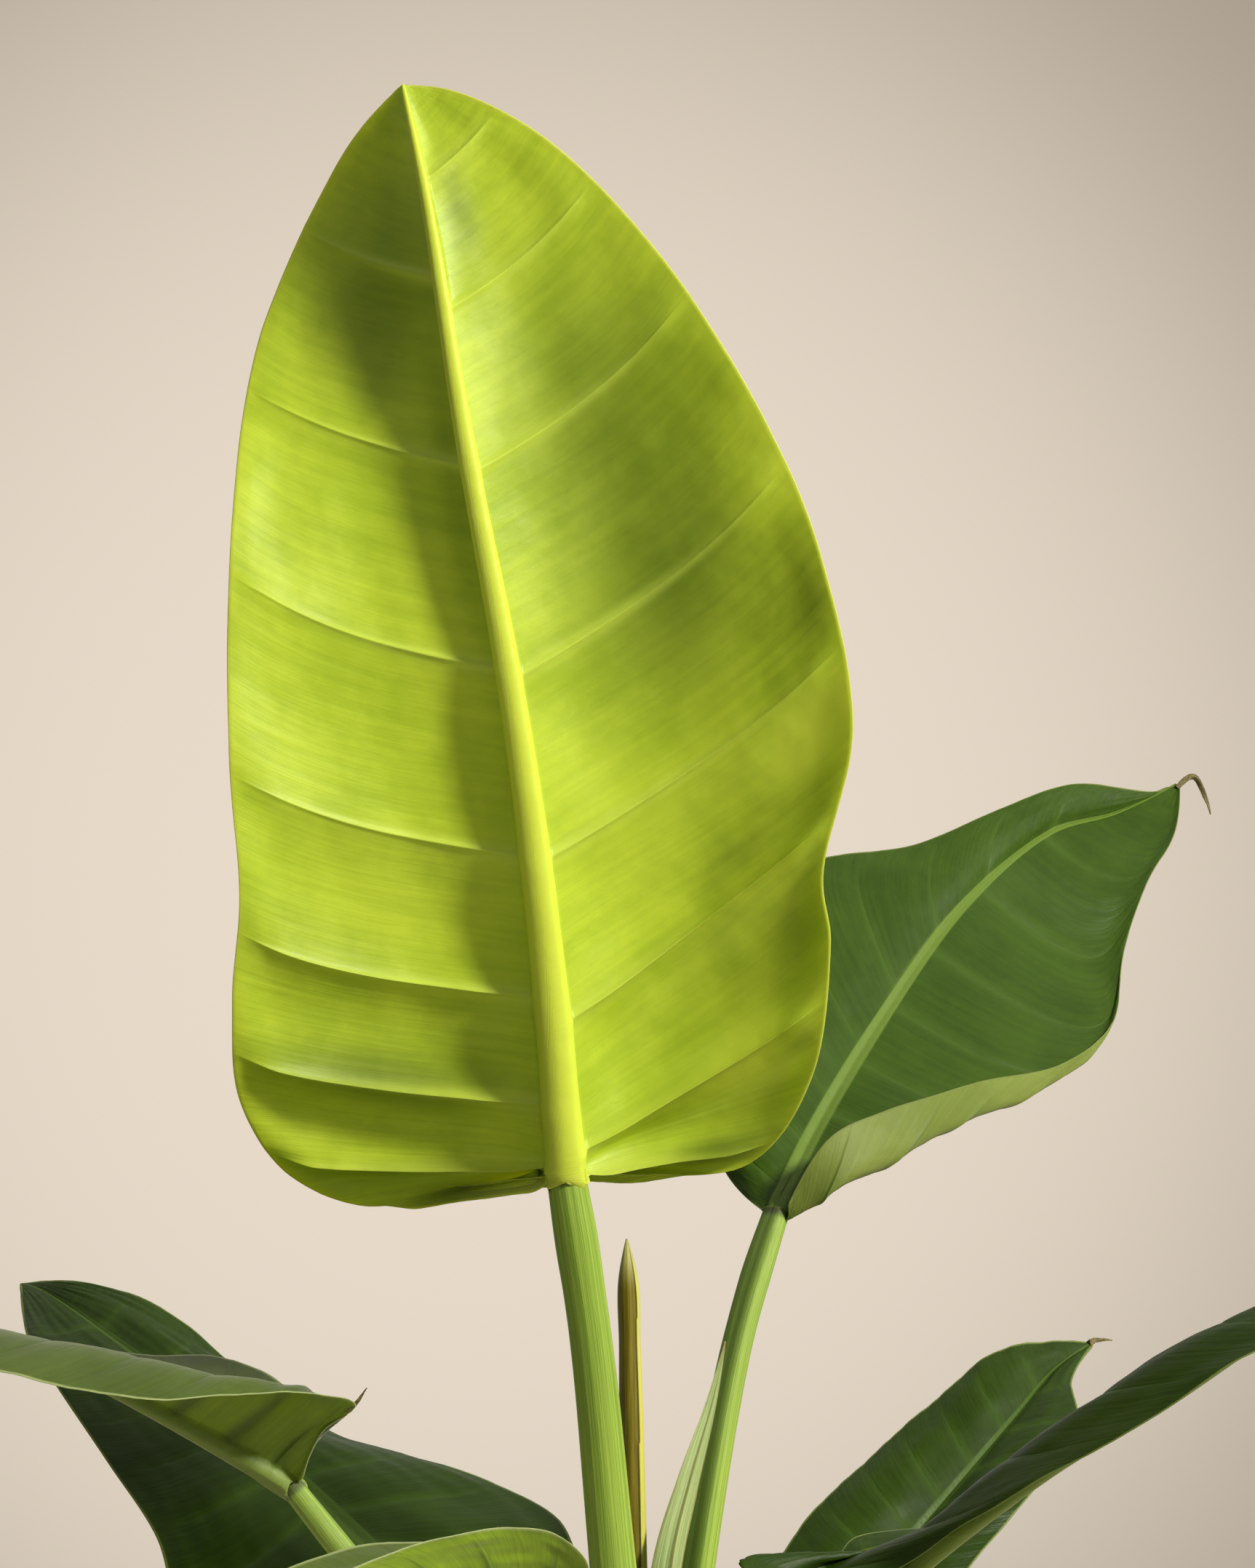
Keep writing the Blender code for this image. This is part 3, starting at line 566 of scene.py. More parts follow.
def blade_mesh(name, leaf, look, base, material):
    """A leaf blade: a thin closed sheet with midrib, side veins, swellings between them and a waved margin."""
    rows = look["rows"]
    ribs = leaf.get("rib", (5.0, 3.0))
    middle_rows = (vein_rows(rows, look["veins"][0]) + vein_rows(rows, look["veins"][1])) / 2
    rib_share = np.linspace(0, 1, RIB_COLUMNS + 1)
    halves = {}
    for number, side in enumerate(("left", "right")):
        veins = np.array(look["veins"][number])
        own_rows = vein_rows(rows, veins)
        reach, start = half_blade(leaf, side, own_rows, np.ones(rows + 1))
        root, start = half_blade(leaf, side, own_rows, np.zeros(rows + 1))
        chord = np.maximum(np.linalg.norm(reach - root, axis=-1), 0.5)
        rib_width = (ribs[0] * (1 - start) ** 0.9 + 0.7) / 2
        edge = np.minimum(rib_width * 1.25 / chord, 0.5)
        outer = np.linspace(0, 1, SIDE_COLUMNS + 1)[1:]
        outer = 1 - (1 - outer) ** 1.25
        t = np.concatenate([rib_share[:, None] * edge, edge + outer[:, None] * (1 - edge)])
        blend = ease(t / np.maximum(edge, 1e-6))
        place = middle_rows + (own_rows - middle_rows) * blend
        upturn = look["upturn"] * np.sin(np.pi * np.clip(place, 0, 1)) * t**3
        points, _ = half_blade(leaf, side, np.clip(place + upturn, 0, 1), t)
        _, start = half_blade(leaf, side, place, t)
        phase = np.interp(place, np.concatenate([[0.0], veins, [1.0]]), np.arange(len(veins) + 2))
        halves[side] = (points, t, place, phase, start)
    left, right = halves["left"], halves["right"]

    def joined(index, sign=1.0):
        return np.concatenate([sign * left[index][::-1], right[index][1:]])

    grid = np.concatenate([left[0][::-1], right[0][1:]])
    place = joined(2)
    share = joined(1)
    signed = joined(1, -1.0)
    phase = joined(3)
    across = np.gradient(grid, axis=0)
    onward = np.gradient(grid, axis=1)
    normal = unit(np.cross(across, onward))
    steps = np.linalg.norm(np.diff(grid, axis=0), axis=-1)
    walk = np.concatenate([np.zeros((1, steps.shape[1])), np.cumsum(steps, axis=0)])
    middle = len(left[0]) - 1
    from_midrib = grid - grid[middle]
    rib_way = unit(np.gradient(grid[middle], axis=0))
    sheer = from_midrib - (from_midrib * rib_way).sum(-1, keepdims=True) * rib_way
    distance = np.linalg.norm(sheer, axis=-1)
    on_left = np.arange(len(grid))[:, None] <= middle
    edge_distance = np.where(on_left, walk, walk[-1] - walk)

    start = joined(4)
    rib_half = (ribs[0] * (1 - start) ** 0.9 + 0.7) / 2
    rib_height = ribs[1] * (1 - start) ** 0.7 + 0.25
    behind = ((grid - grid[middle, 0]) * rib_way[0]).sum(-1)
    rib = np.clip(1 - (distance / rib_half) ** 2, 0, 1) * ease(1 + behind / 4)
    rib_round = rib**0.62
    crest = np.zeros_like(place)
    veiny = np.zeros_like(place)
    per_place = np.linalg.norm(onward, axis=-1) / np.maximum(np.abs(np.gradient(place, axis=1)), 1e-6)
    for number, veins in enumerate(look["veins"]):
        columns = slice(0, middle + 1) if number == 0 else slice(middle, None)
        for vein in veins:
            away = np.abs(place[columns] - vein) * per_place[columns]
            inward = 1 - share[columns]
            width = 0.45 + 0.55 * inward
            fade = (1 - share[columns] ** 3) * ease(edge_distance[columns] / 6) * (0.5 + 0.5 * inward)
            raised = np.exp(-((away / width) ** 2)) * fade * (1 - rib[columns])
            crest[columns] = np.maximum(crest[columns], raised)
            veiny[columns] = np.maximum(veiny[columns], np.exp(-((away / (2.2 * width)) ** 2)) * fade)

    between = np.abs(np.sin(np.pi * phase)) ** 0.7
    body = ease(share / 0.25) * ease(edge_distance / look["calm_edge"]) * ease(place / 0.05)
    near_base = look["base_quilt"] * np.exp(-((start / 0.22) ** 2))
    lift = look["quilt"] * (between - 0.55) * body * (1 + near_base)
    height, count = look["wave"]
    side_shift = np.where(on_left, 0.0, 1.3)
    taper = ease(place / 0.15) * ease((1 - place) / 0.12)
    lift += height * share**2.5 * np.sin(2 * np.pi * count * place + side_shift) * taper
    lift += 0.35 * height * share**3 * np.sin(2 * np.pi * count * 2.7 * place + 2 * side_shift + 0.7) * taper
    seed = sum(ord(c) for c in name) % 97
    lift += look["drift"] * waves(place * 2.2, signed * 1.6, seed) * ease(share / 0.2) * taper
    lift += 0.10 * waves(phase * 3.0, signed * 6.0, seed + 5) * ease(share / 0.2)
    grid = grid + normal * lift[..., None]

    # Painted light and painted shade for the lower face: lighter and darker patches from the "tones" table.
    tone = np.zeros_like(place)
    for side, across, up, wide, high, amount in look.get("tones", ()):
        near = ((share - across) / wide) ** 2 + ((place - up) / high) ** 2
        on_side = ease((-side * (middle - np.arange(len(grid))[:, None])) / 3.0 + 0.5)
        tone += amount * np.exp(-near) * on_side * (1 - rib)

    base_bump = np.exp(-((start * 14) ** 2)) * 0.55 * ribs[1]
    taper_edge = 0.55 + 0.45 * ease(edge_distance / 5)
    half = SHEET_THICKNESS / MM / 2 * taper_edge
    groove = 0.10 * rib_height * np.exp(-((distance / (0.45 * rib_half)) ** 2))
    upper_depth = half + rib_round * base_bump - groove - 0.30 * look["ridge"] * crest
    lower_depth = half + rib_round * rib_height + look["ridge"] * crest
    upper = grid + normal * upper_depth[..., None]
    lower = grid - normal * lower_depth[..., None]
    size = grid.shape[0] * grid.shape[1]
    quads, rim = sheet_faces(grid.shape)
    outward = np.zeros_like(grid)
    outward[0] = unit(grid[0] - grid[1])
    outward[-1] = unit(grid[-1] - grid[-2])
    rim_out = outward.reshape(-1, 3)[rim] * 0.35 * SHEET_THICKNESS / MM
    mid_ring = grid.reshape(-1, 3)[rim] + rim_out
    following = np.roll(rim, -1)
    ring = 2 * size + np.arange(len(rim))
    ring_next = np.roll(ring, -1)
    faces = np.concatenate([
        quads,
        quads[:, ::-1] + size,
        np.stack([following, rim, ring, ring_next], -1),
        np.stack([ring_next, ring, rim + size, following + size], -1),
    ])
    verts = np.concatenate([upper.reshape(-1, 3), lower.reshape(-1, 3), mid_ring]) * MM + base
    flat = np.stack([start.ravel(), signed.ravel(), phase.ravel()], -1)
    marks = np.stack([rib_round.ravel(), veiny.ravel(), edge_distance.ravel()], -1)
    under = np.concatenate([np.zeros(size), np.ones(size), np.full(len(rim), 0.5)])
    attributes = {
        "leaf_place": np.concatenate([flat, flat, flat[rim]]),
        "leaf_marks": np.concatenate([marks, marks, marks[rim]]),
        "leaf_under": under,
        "leaf_tone": np.concatenate([np.zeros(size), tone.ravel(), tone.ravel()[rim]]),
    }
    return add_mesh(name, verts, faces, material, None, attributes)


def petiole_route(leaf):
    """A petiole's centre line in metres: from the crown, or from the stem's side, to the blade."""
    route = from_crown(leaf["petiole"])
    if "clasp" not in leaf:
        route[0] = route[0] + np.array([0, 0, GAP])
        route.insert(1, route[0] + np.array([0, 0, CLASP_LENGTH]))
    else:
        degrees, below = leaf["clasp"]
        reach = STEM_RADIUS + leaf["radii"][0] * MM + GAP
        angle = math.radians(degrees)
        foot = CROWN + np.array([reach * math.cos(angle), reach * math.sin(angle), -below * MM])
        route = [foot, foot + np.array([0, 0, CLASP_LENGTH])] + route
    return route


def stalk_mesh(name, route, section, material, rings, sides, toward_side):
    """A tube along a smooth route. section(along, angle) gives its radius in metres, angle 0 facing toward_side."""
    places = np.linspace(0, 1, rings + 1)
    centres = along(route, places)
    forward = unit(np.gradient(centres, axis=0))
    toward = unit(np.cross(np.cross(forward, np.asarray(toward_side, float)), forward))
    sideways = np.cross(forward, toward)
    angles = np.arange(sides) * 2 * math.pi / sides
    reach = section(places[:, None], angles[None, :])
    verts = (
        centres[:, None]
        + (reach * np.cos(angles))[..., None] * toward[:, None]
        + (reach * np.sin(angles))[..., None] * sideways[:, None]
    )
    length = np.concatenate([[0.0], np.cumsum(np.linalg.norm(np.diff(centres, axis=0), axis=1))])
    place = np.stack(
        np.broadcast_arrays(places[:, None], np.cos(angles)[None, :], np.sin(angles)[None, :]), -1
    ).reshape(-1, 3)
    metres = np.repeat(length, sides)
    to_end = np.repeat(length[-1] - length, sides)
    attributes = {"stalk_place": place, "stalk_from_foot": metres, "stalk_from_top": to_end}
    return add_mesh(name, verts.reshape(-1, 3), tube_faces(rings, sides), material, 50, attributes)


def petiole_section(leaf, length):
    """A petiole's outline: round behind, flattened and grooved in front, sheath-like and wide at its foot."""
    foot, top = (r * MM for r in leaf["radii"])

    def section(place, angle):
        radius = foot + (top - foot) * place
        facing = np.cos(angle)
        flat = 1 - 0.20 * np.clip(facing, 0, 1) ** 2 - 0.10 * np.clip(facing, 0, 1) ** 8
        shoulders = 1 + 0.05 * np.exp(-(((np.abs(np.angle(np.exp(1j * angle))) - 0.95) / 0.25) ** 2))
        knee = 1 + 0.07 * np.exp(-((((1 - place) * length - 0.016) / 0.010) ** 2))
        sheath = 1 + 0.16 * np.exp(-((place * length / 0.022) ** 2))
        wobble = 1 + 0.012 * waves(place * length * 22 + 0 * angle, np.sin(angle) * 0.4, foot * 9000)
        ridges = 1 + 0.006 * np.sin(11 * angle + 3 * place)
        return radius * flat * shoulders * knee * sheath * wobble * ridges
    return section


class Nodes:
    """Short calls for building a node tree."""

    def __init__(self, tree):
        self.tree = tree

    def add(self, kind, **settings):
        node = self.tree.nodes.new(kind)
        for key, value in settings.items():
            setattr(node, key, value)
        return node

    def put(self, socket, value):
        if isinstance(value, bpy.types.NodeSocket):
            self.tree.links.new(value, socket)
        elif isinstance(value, tuple) and len(value) == 3 and socket.type == "RGBA":
            socket.default_value = (*value, 1.0)
        else:
            socket.default_value = value

    def math(self, operation, a, b=0.0, c=0.0):
        node = self.add("ShaderNodeMath", operation=operation)
        for socket, value in zip(node.inputs, (a, b, c)):
            self.put(socket, value)
        return node.outputs[0]

    def mix(self, share, a, b, blend="MIX"):
        node = self.add("ShaderNodeMix", data_type="RGBA", blend_type=blend, clamp_factor=True)
        self.put(node.inputs[0], share)
        self.put(node.inputs[6], a)
        self.put(node.inputs[7], b)
        return node.outputs[2]

    def span(self, value, low, high, to_low=0.0, to_high=1.0):
        """value taken from low..high to to_low..to_high, smoothly and clamped."""
        node = self.add("ShaderNodeMapRange", interpolation_type="SMOOTHSTEP")
        for socket, number in zip(node.inputs, (value, low, high, to_low, to_high)):
            self.put(socket, number)
        return node.outputs[0]

    def noise(self, vector, scale, detail=3.0, roughness=0.55, distortion=0.0):
        node = self.add("ShaderNodeTexNoise")
        self.put(node.inputs["Vector"], vector)
        self.put(node.inputs["Scale"], scale)
        self.put(node.inputs["Detail"], detail)
        self.put(node.inputs["Roughness"], roughness)
        self.put(node.inputs["Distortion"], distortion)
        return node.outputs[0]

    def cells(self, vector, scale):
        node = self.add("ShaderNodeTexVoronoi")
        self.put(node.inputs["Vector"], vector)
        self.put(node.inputs["Scale"], scale)
        return node.outputs[0]

    def attribute(self, name, channel=None):
        node = self.add("ShaderNodeAttribute", attribute_name=name)
        if channel is None:
            return node.outputs["Fac"]
        return self.split(node.outputs["Vector"])[channel]

    def split(self, vector):
        parts = self.add("ShaderNodeSeparateXYZ")
        self.put(parts.inputs[0], vector)
        return parts.outputs

    def stretched(self, parts, factors):
        """A vector of the parts, each times its own factor."""
        return self.vector(*(self.math("MULTIPLY", part, factor) for part, factor in zip(parts, factors)))

    def vector(self, x, y, z=0.0):
        node = self.add("ShaderNodeCombineXYZ")
        for socket, value in zip(node.inputs, (x, y, z)):
            self.put(socket, value)
        return node.outputs[0]

    def place(self):
        """The point itself, in metres."""
        return self.add("ShaderNodeTexCoord").outputs["Object"]

    def bump(self, height, depth, before=None):
        node = self.add("ShaderNodeBump")
        self.put(node.inputs["Strength"], 1.0)
        self.put(node.inputs["Distance"], depth)
        self.put(node.inputs["Height"], height)
        if before is not None:
            self.put(node.inputs["Normal"], before)
        return node.outputs[0]


class Graph(Nodes):
    """The nodes of one material."""

    def __init__(self, name):
        self.material = bpy.data.materials.new(name)
        self.material.use_nodes = True
        super().__init__(self.material.node_tree)
        self.shader = self.tree.nodes["Principled BSDF"]

    def finish(self, colour, roughness, normal=None, **plain):
        self.put(self.shader.inputs["Base Color"], colour)
        self.put(self.shader.inputs["Roughness"], roughness)
        if normal is not None:
            self.put(self.shader.inputs["Normal"], normal)
        for key, value in plain.items():
            self.put(self.shader.inputs[key.replace("_", " ")], value)
        return self.material


def leaf_material(
    name, upper, upper_dark, lower, lower_dark, rib, rib_below, vein, edge, through, gloss, shine, bloom=0.0
):
    """Leaf skin: two faces of different green, fine lines along the side veins, pale midrib, veins and edge."""
    g = Graph(name)
    share, phase = (g.attribute("leaf_place", i) for i in (1, 2))
    ribbed, veined, edge_mm = (g.attribute("leaf_marks", i) for i in range(3))
    under = g.span(g.attribute("leaf_under"), 0.45, 0.55)
    place = g.place()
    across = g.math("MULTIPLY", phase, 13.0)
    lines = g.noise(g.vector(across, g.math("MULTIPLY", share, 1.3), under), 1.0, 5.0, 0.62)
    patches = g.noise(place, 38.0, 4.0, 0.6)
    specks = g.noise(place, 900.0, 3.0, 0.65)
    patchy = g.math("MULTIPLY", g.span(patches, 0.36, 0.64), 0.6)
    tone = g.math("ADD", patchy, g.math("MULTIPLY", g.span(lines, 0.35, 0.65), 0.4))
    colour = g.mix(under, g.mix(tone, upper_dark, upper), g.mix(tone, lower_dark, lower))
    colour = g.mix(g.span(specks, 0.45, 0.75, 0.0, 0.22), colour, (0.9, 0.9, 0.9), "MULTIPLY")
    # Painted shade below 0 (darkened towards dull olive) and painted light above 0 (mixed towards bright yellow
    # green).
    painted_light_shade = g.attribute("leaf_tone")
    colour = g.mix(g.span(painted_light_shade, -1.0, 0.0, 1.0, 0.0), colour, (0.30, 0.34, 0.20), "MULTIPLY")
    colour = g.mix(g.span(painted_light_shade, 0.0, 1.0), colour, (0.66, 0.84, 0.07))
    colour = g.mix(g.math("MULTIPLY", veined, 0.75), colour, vein)
    colour = g.mix(g.span(ribbed, 0.05, 0.6), colour, g.mix(under, rib, rib_below))
    # Pale edge band, wider with bloom; on the waxy leaf it is partly a painted rim highlight.
    colour = g.mix(g.span(edge_mm, 0.25, 0.9 + bloom, 1.0, 0.0), colour, edge)
    skin = g.math("ADD", g.math("MULTIPLY", lines, 0.7), g.math("MULTIPLY", specks, 0.05))
    normal = g.bump(skin, 0.00028)
    normal = g.bump(g.noise(place, 90.0, 2.0, 0.4), 0.0005, normal)
    roughness = g.span(patches, 0.3, 0.7, gloss - 0.04, gloss + 0.07)
    roughness = g.math("ADD", roughness, g.math("MULTIPLY", under, 0.06))
    return g.finish(
        colour,
        roughness,
        normal,
        Subsurface_Weight=through,
        Subsurface_Radius=(1.0, 1.0, 0.25),
        Subsurface_Scale=0.0016,
        Subsurface_Anisotropy=0.3,
        Specular_IOR_Level=shine,
        Sheen_Weight=bloom,
        Sheen_Roughness=0.35,
        Sheen_Tint=(0.95, 0.92, 0.80, 1.0),
    )


def petiole_material():
    """Petiole skin: green with long pale streaks and small flecks, painted shade along its grooved inner side, and
    darker at the top ring.
    """
    g = Graph("petiole")
    facing, aside = (g.attribute("stalk_place", i) for i in (1, 2))
    from_foot = g.attribute("stalk_from_foot")
    from_top = g.attribute("stalk_from_top")
    streaks = g.noise(g.stretched((facing, aside, from_foot), (7.0, 7.0, 9.0)), 1.0, 4.0, 0.6)
    fine = g.noise(g.stretched((facing, aside, from_foot), (26.0, 26.0, 54.0)), 1.0, 3.0, 0.6)
    colour = g.mix(g.span(streaks, 0.35, 0.65), (0.20, 0.33, 0.03), (0.36, 0.50, 0.07))
    colour = g.mix(g.span(fine, 0.55, 0.75, 0.0, 0.2), colour, (0.40, 0.50, 0.13))
    # Painted shade: the grooved side that faces the plant's middle is darkened towards deep green.
    colour = g.mix(g.span(facing, 0.45, 0.95, 0.0, 0.75), colour, (0.085, 0.16, 0.018))
    colour = g.mix(g.span(from_foot, 0.0, 0.05, 0.45, 0.0), colour, (0.30, 0.36, 0.12))
    ring = g.math("MULTIPLY", g.span(from_top, 0.0012, 0.0030, 1.0, 0.0), 0.8)
    colour = g.mix(ring, colour, (0.035, 0.045, 0.012))
    normal = g.bump(g.math("ADD", g.math("MULTIPLY", streaks, 0.5), g.math("MULTIPLY", fine, 0.5)), 0.0003)
    return g.finish(
        colour, g.span(streaks, 0.3, 0.7, 0.38, 0.48), normal,
        Subsurface_Weight=0.35, Subsurface_Radius=(1.0, 1.0, 0.3), Subsurface_Scale=0.002,
        Specular_IOR_Level=0.35,
    )


def spear_material():
    """The rolled young leaf: olive brown on its inner roll, yellow green at its loose edge and tip."""
    g = Graph("spear")
    along_it = g.attribute("stalk_place", 0)
    turn = g.attribute("roll_turn")
    rolled = g.noise(g.stretched((turn, along_it), (16.0, 4.0)), 1.0, 4.0, 0.6)
    colour = g.mix(g.span(rolled, 0.35, 0.65), (0.15, 0.115, 0.006), (0.24, 0.20, 0.016))
    colour = g.mix(g.span(turn, 0.70, 0.80), colour, (0.62, 0.60, 0.10))
    colour = g.mix(g.span(along_it, 0.90, 0.99), colour, (0.46, 0.44, 0.13))
    normal = g.bump(rolled, 0.0003)
    return g.finish(
        colour, g.span(rolled, 0.3, 0.7, 0.28, 0.38), normal,
        Subsurface_Weight=0.25, Subsurface_Radius=(1.0, 0.9, 0.3), Subsurface_Scale=0.0015,
        Coat_Weight=0.15, Coat_Roughness=0.2,
    )


def cataphyll_material():
    """The papery sheath beside the spear: pale green with long fibres, dark keels and browning edges."""
    g = Graph("cataphyll")
    rise, turn, edge = (g.attribute("sheath_place", i) for i in range(3))
    fibres = g.noise(g.stretched((turn, rise), (24.0, 3.0)), 1.0, 5.0, 0.65)
    colour = g.mix(g.span(fibres, 0.35, 0.65), (0.22, 0.33, 0.08), (0.50, 0.59, 0.26))
    keel = g.span(g.math("ABSOLUTE", g.math("SUBTRACT", edge, 0.58)), 0.03, 0.09, 0.8, 0.0)
    colour = g.mix(keel, colour, (0.17, 0.16, 0.03))
    colour = g.mix(g.span(edge, 0.0, 0.10, 0.7, 0.0), colour, (0.42, 0.36, 0.17))
    colour = g.mix(g.span(rise, 0.93, 1.0, 0.0, 0.8), colour, (0.34, 0.24, 0.10))
    return g.finish(
        colour, g.span(fibres, 0.3, 0.7, 0.38, 0.5), g.bump(fibres, 0.00025),
        Subsurface_Weight=0.5, Subsurface_Radius=(1.0, 1.0, 0.4), Subsurface_Scale=0.0015,
    )


def dried_material():
    """Dead olive brown leaf tips."""
    g = Graph("dried_tip")
    grain = g.noise(g.place(), 1400.0, 4.0, 0.6)
    colour = g.mix(g.span(grain, 0.35, 0.65), (0.10, 0.085, 0.022), (0.20, 0.165, 0.060))
    return g.finish(colour, g.span(grain, 0.3, 0.7, 0.6, 0.8), g.bump(grain, 0.0003))


def stem_material():
    """The short stem: green nodes between pale brown leaf scars, with corky flecks."""
    g = Graph("stem")
    place = g.place()
    scar = g.attribute("scar")
    cork = g.noise(place, 260.0, 5.0, 0.65)
    colour = g.mix(g.span(cork, 0.38, 0.62), (0.13, 0.17, 0.045), (0.24, 0.27, 0.09))
    colour = g.mix(g.span(cork, 0.58, 0.66, 0.0, 0.8), colour, (0.30, 0.22, 0.13))
    colour = g.mix(g.math("MULTIPLY", scar, 0.85), colour, (0.27, 0.18, 0.10))
    return g.finish(colour, g.span(cork, 0.3, 0.7, 0.5, 0.75), g.bump(cork, 0.0008))


def soil_material():
    """Dark potting mix with lighter crumbs and short fibres."""
    g = Graph("soil")
    place = g.place()
    crumbs = g.noise(place, 220.0, 6.0, 0.7)
    grit = g.cells(place, 520.0)
    colour = g.mix(g.span(crumbs, 0.38, 0.66), (0.012, 0.007, 0.004), (0.070, 0.042, 0.022))
    colour = g.mix(g.span(grit, 0.0, 0.22, 0.5, 0.0), colour, (0.12, 0.08, 0.045))
    normal = g.bump(crumbs, 0.0030)
    normal = g.bump(grit, 0.0010, normal)
    return g.finish(colour, g.span(crumbs, 0.3, 0.7, 0.85, 1.0), normal, Specular_IOR_Level=0.25)


def bark_material():
    """Chips of composted bark."""
    g = Graph("bark")
    place = g.place()
    grain = g.noise(place, 420.0, 5.0, 0.65, 0.6)
    each = g.attribute("chip_tone")
    colour = g.mix(each, (0.045, 0.024, 0.012), (0.20, 0.115, 0.055))
    colour = g.mix(g.span(grain, 0.35, 0.65), colour, (0.35, 0.32, 0.28), "MULTIPLY")
    return g.finish(colour, 0.88, g.bump(grain, 0.0010), Specular_IOR_Level=0.3)


def perlite_material():
    """White volcanic grains, pitted."""
    g = Graph("perlite")
    place = g.place()
    pits = g.noise(place, 900.0, 4.0, 0.6)
    colour = g.mix(g.span(pits, 0.35, 0.6), (0.46, 0.43, 0.38), (0.78, 0.76, 0.72))
    return g.finish(colour, 0.9, g.bump(pits, 0.0006))


def pot_material():
    """Warm white matt ceramic with faint throwing lines, tiny specks and a trace of soil inside the rim."""
    g = Graph("pot")
    place = g.place()
    x, y, z = g.split(place)
    lines = g.noise(g.stretched((x, y, z), (2.0, 2.0, 260.0)), 1.0, 3.0, 0.5)
    mottle = g.noise(place, 60.0, 5.0, 0.6)
    specks = g.cells(place, 420.0)
    colour = g.mix(g.span(mottle, 0.35, 0.65), (0.60, 0.555, 0.485), (0.68, 0.635, 0.565))
    colour = g.mix(g.span(specks, 0.05, 0.10, 0.55, 0.0), colour, (0.32, 0.27, 0.21))
    inside = g.attribute("inner_wall")
    stain = g.math("MULTIPLY", inside, g.span(mottle, 0.3, 0.6, 0.35, 0.75))
    colour = g.mix(stain, colour, (0.20, 0.14, 0.09))
    normal = g.bump(lines, 0.0005)
    normal = g.bump(g.noise(place, 1500.0, 2.0, 0.5), 0.0001, normal)
    return g.finish(
        colour, g.span(mottle, 0.3, 0.7, 0.42, 0.55), normal, Coat_Weight=0.15, Coat_Roughness=0.35
    )


def build_leaf(name, leaf, materials):
    route = petiole_route(leaf)
    junction = route[-1]
    look = DEFAULT_LOOK | LOOKS.get(name, {})
    blade = blade_mesh(f"leaf_{name}", leaf, look, junction, materials[look["material"]])
    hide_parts(f"blade_{name}")
    length = sum(np.linalg.norm(b - a) for a, b in zip(route, route[1:]))
    route[-1] = junction + unit(route[-1] - route[-2]) * PETIOLE_IN_BLADE
    inward = -np.array([junction[0], junction[1], 0.0])
    stalk = stalk_mesh(
        f"stalk_{name}", route, petiole_section(leaf, length), materials["petiole"], 110, 44, inward
    )
    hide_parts(f"petiole_{name}")


def build_spear(materials):
    """A rolled young leaf: a tube whose outer edge winds round it, drawn out to a slightly hooked tip."""
    route = from_crown(SPEAR_ROUTE)
    radii = np.array(SPEAR_RADII)[:, None] * MM

    def roll(place, angle):
        return (0.06 - angle / (2 * math.pi) + 0.06 * place) % 1.0

    def section(place, angle):
        flat = np.broadcast_to(place, np.broadcast(place, angle).shape)
        radius = smooth_through(radii, SPEAR_KNOTS, flat)[..., 0]
        turn = roll(place, angle)
        return radius * (0.86 + 0.16 * turn) * (1 - 0.06 * np.cos(2 * angle + 4 * place))

    spear = stalk_mesh("spear_roll", route, section, materials["spear"], 220, 72, (0, -1, 0))
    places = np.repeat(np.linspace(0, 1, 221), 72)
    angles = np.tile(np.arange(72) * 2 * math.pi / 72, 221)
    slot = spear.data.attributes.new("roll_turn", "FLOAT", "POINT")
    slot.data.foreach_set("value", roll(places, angles).astype(np.float32))
    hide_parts("spear")


def build_cataphyll(materials):
    """A thin two-keeled sheath, hollow towards the spear, its free tip bent away to the right and the rear."""
    rings, sides = 120, 56
    places = np.linspace(0, 1, rings + 1)
    spine = along(from_crown(CATAPHYLL_SPINE), places)
    forward = unit(np.gradient(spine, axis=0))
    outward = unit(np.cross(np.cross(forward, np.array([0.9, -0.35, 0.1])), forward))
    sideways = np.cross(forward, outward)
    half_turn = np.radians(100) * (1 - 0.55 * places**1.5)
    radius = 6.2 * MM * np.clip(1 - places**3.2, 0.012, 1) ** 0.8 * (1 - 0.25 * places)
    radius = radius * (0.8 + 0.2 * ease(places / 0.4))
    share = np.linspace(-1, 1, sides + 1)
    angle = half_turn[:, None] * share
    keel = 1 + 0.16 * np.exp(-(((np.abs(share) - 0.42) / 0.07) ** 2))
    reach = radius[:, None] * keel * (1 + 0.03 * np.sin(9 * places[:, None] + 5 * share))
    sheet = (
        spine[:, None]
        + (reach * np.cos(angle) - 0.55 * radius[:, None])[..., None] * outward[:, None]
        + (reach * np.sin(angle))[..., None] * sideways[:, None]
    )
    normal = unit(np.cos(angle)[..., None] * outward[:, None] + np.sin(angle)[..., None] * sideways[:, None])
    thick = (0.55 * MM * (1 - 0.75 * np.abs(share) ** 3))[None, :, None] * np.ones((rings + 1, 1, 1))
    outer = sheet + normal * thick / 2
    inner = sheet - normal * thick / 2
    size = sheet.shape[0] * sheet.shape[1]
    quads, rim = sheet_faces(sheet.shape)
    following = np.roll(rim, -1)
    edge = np.stack([rim, following, following + size, rim + size], -1)
    faces = np.concatenate([quads[:, ::-1], quads + size, edge])
    flat = np.stack(np.broadcast_arrays(places[:, None], share, 1 - np.abs(share)), -1).reshape(-1, 3)
    verts = np.concatenate([outer.reshape(-1, 3), inner.reshape(-1, 3)])
    marks = {"sheath_place": np.concatenate([flat, flat])}
    sheath = add_mesh("sheath", verts, faces, materials["cataphyll"], 50, marks)
    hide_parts("cataphyll")


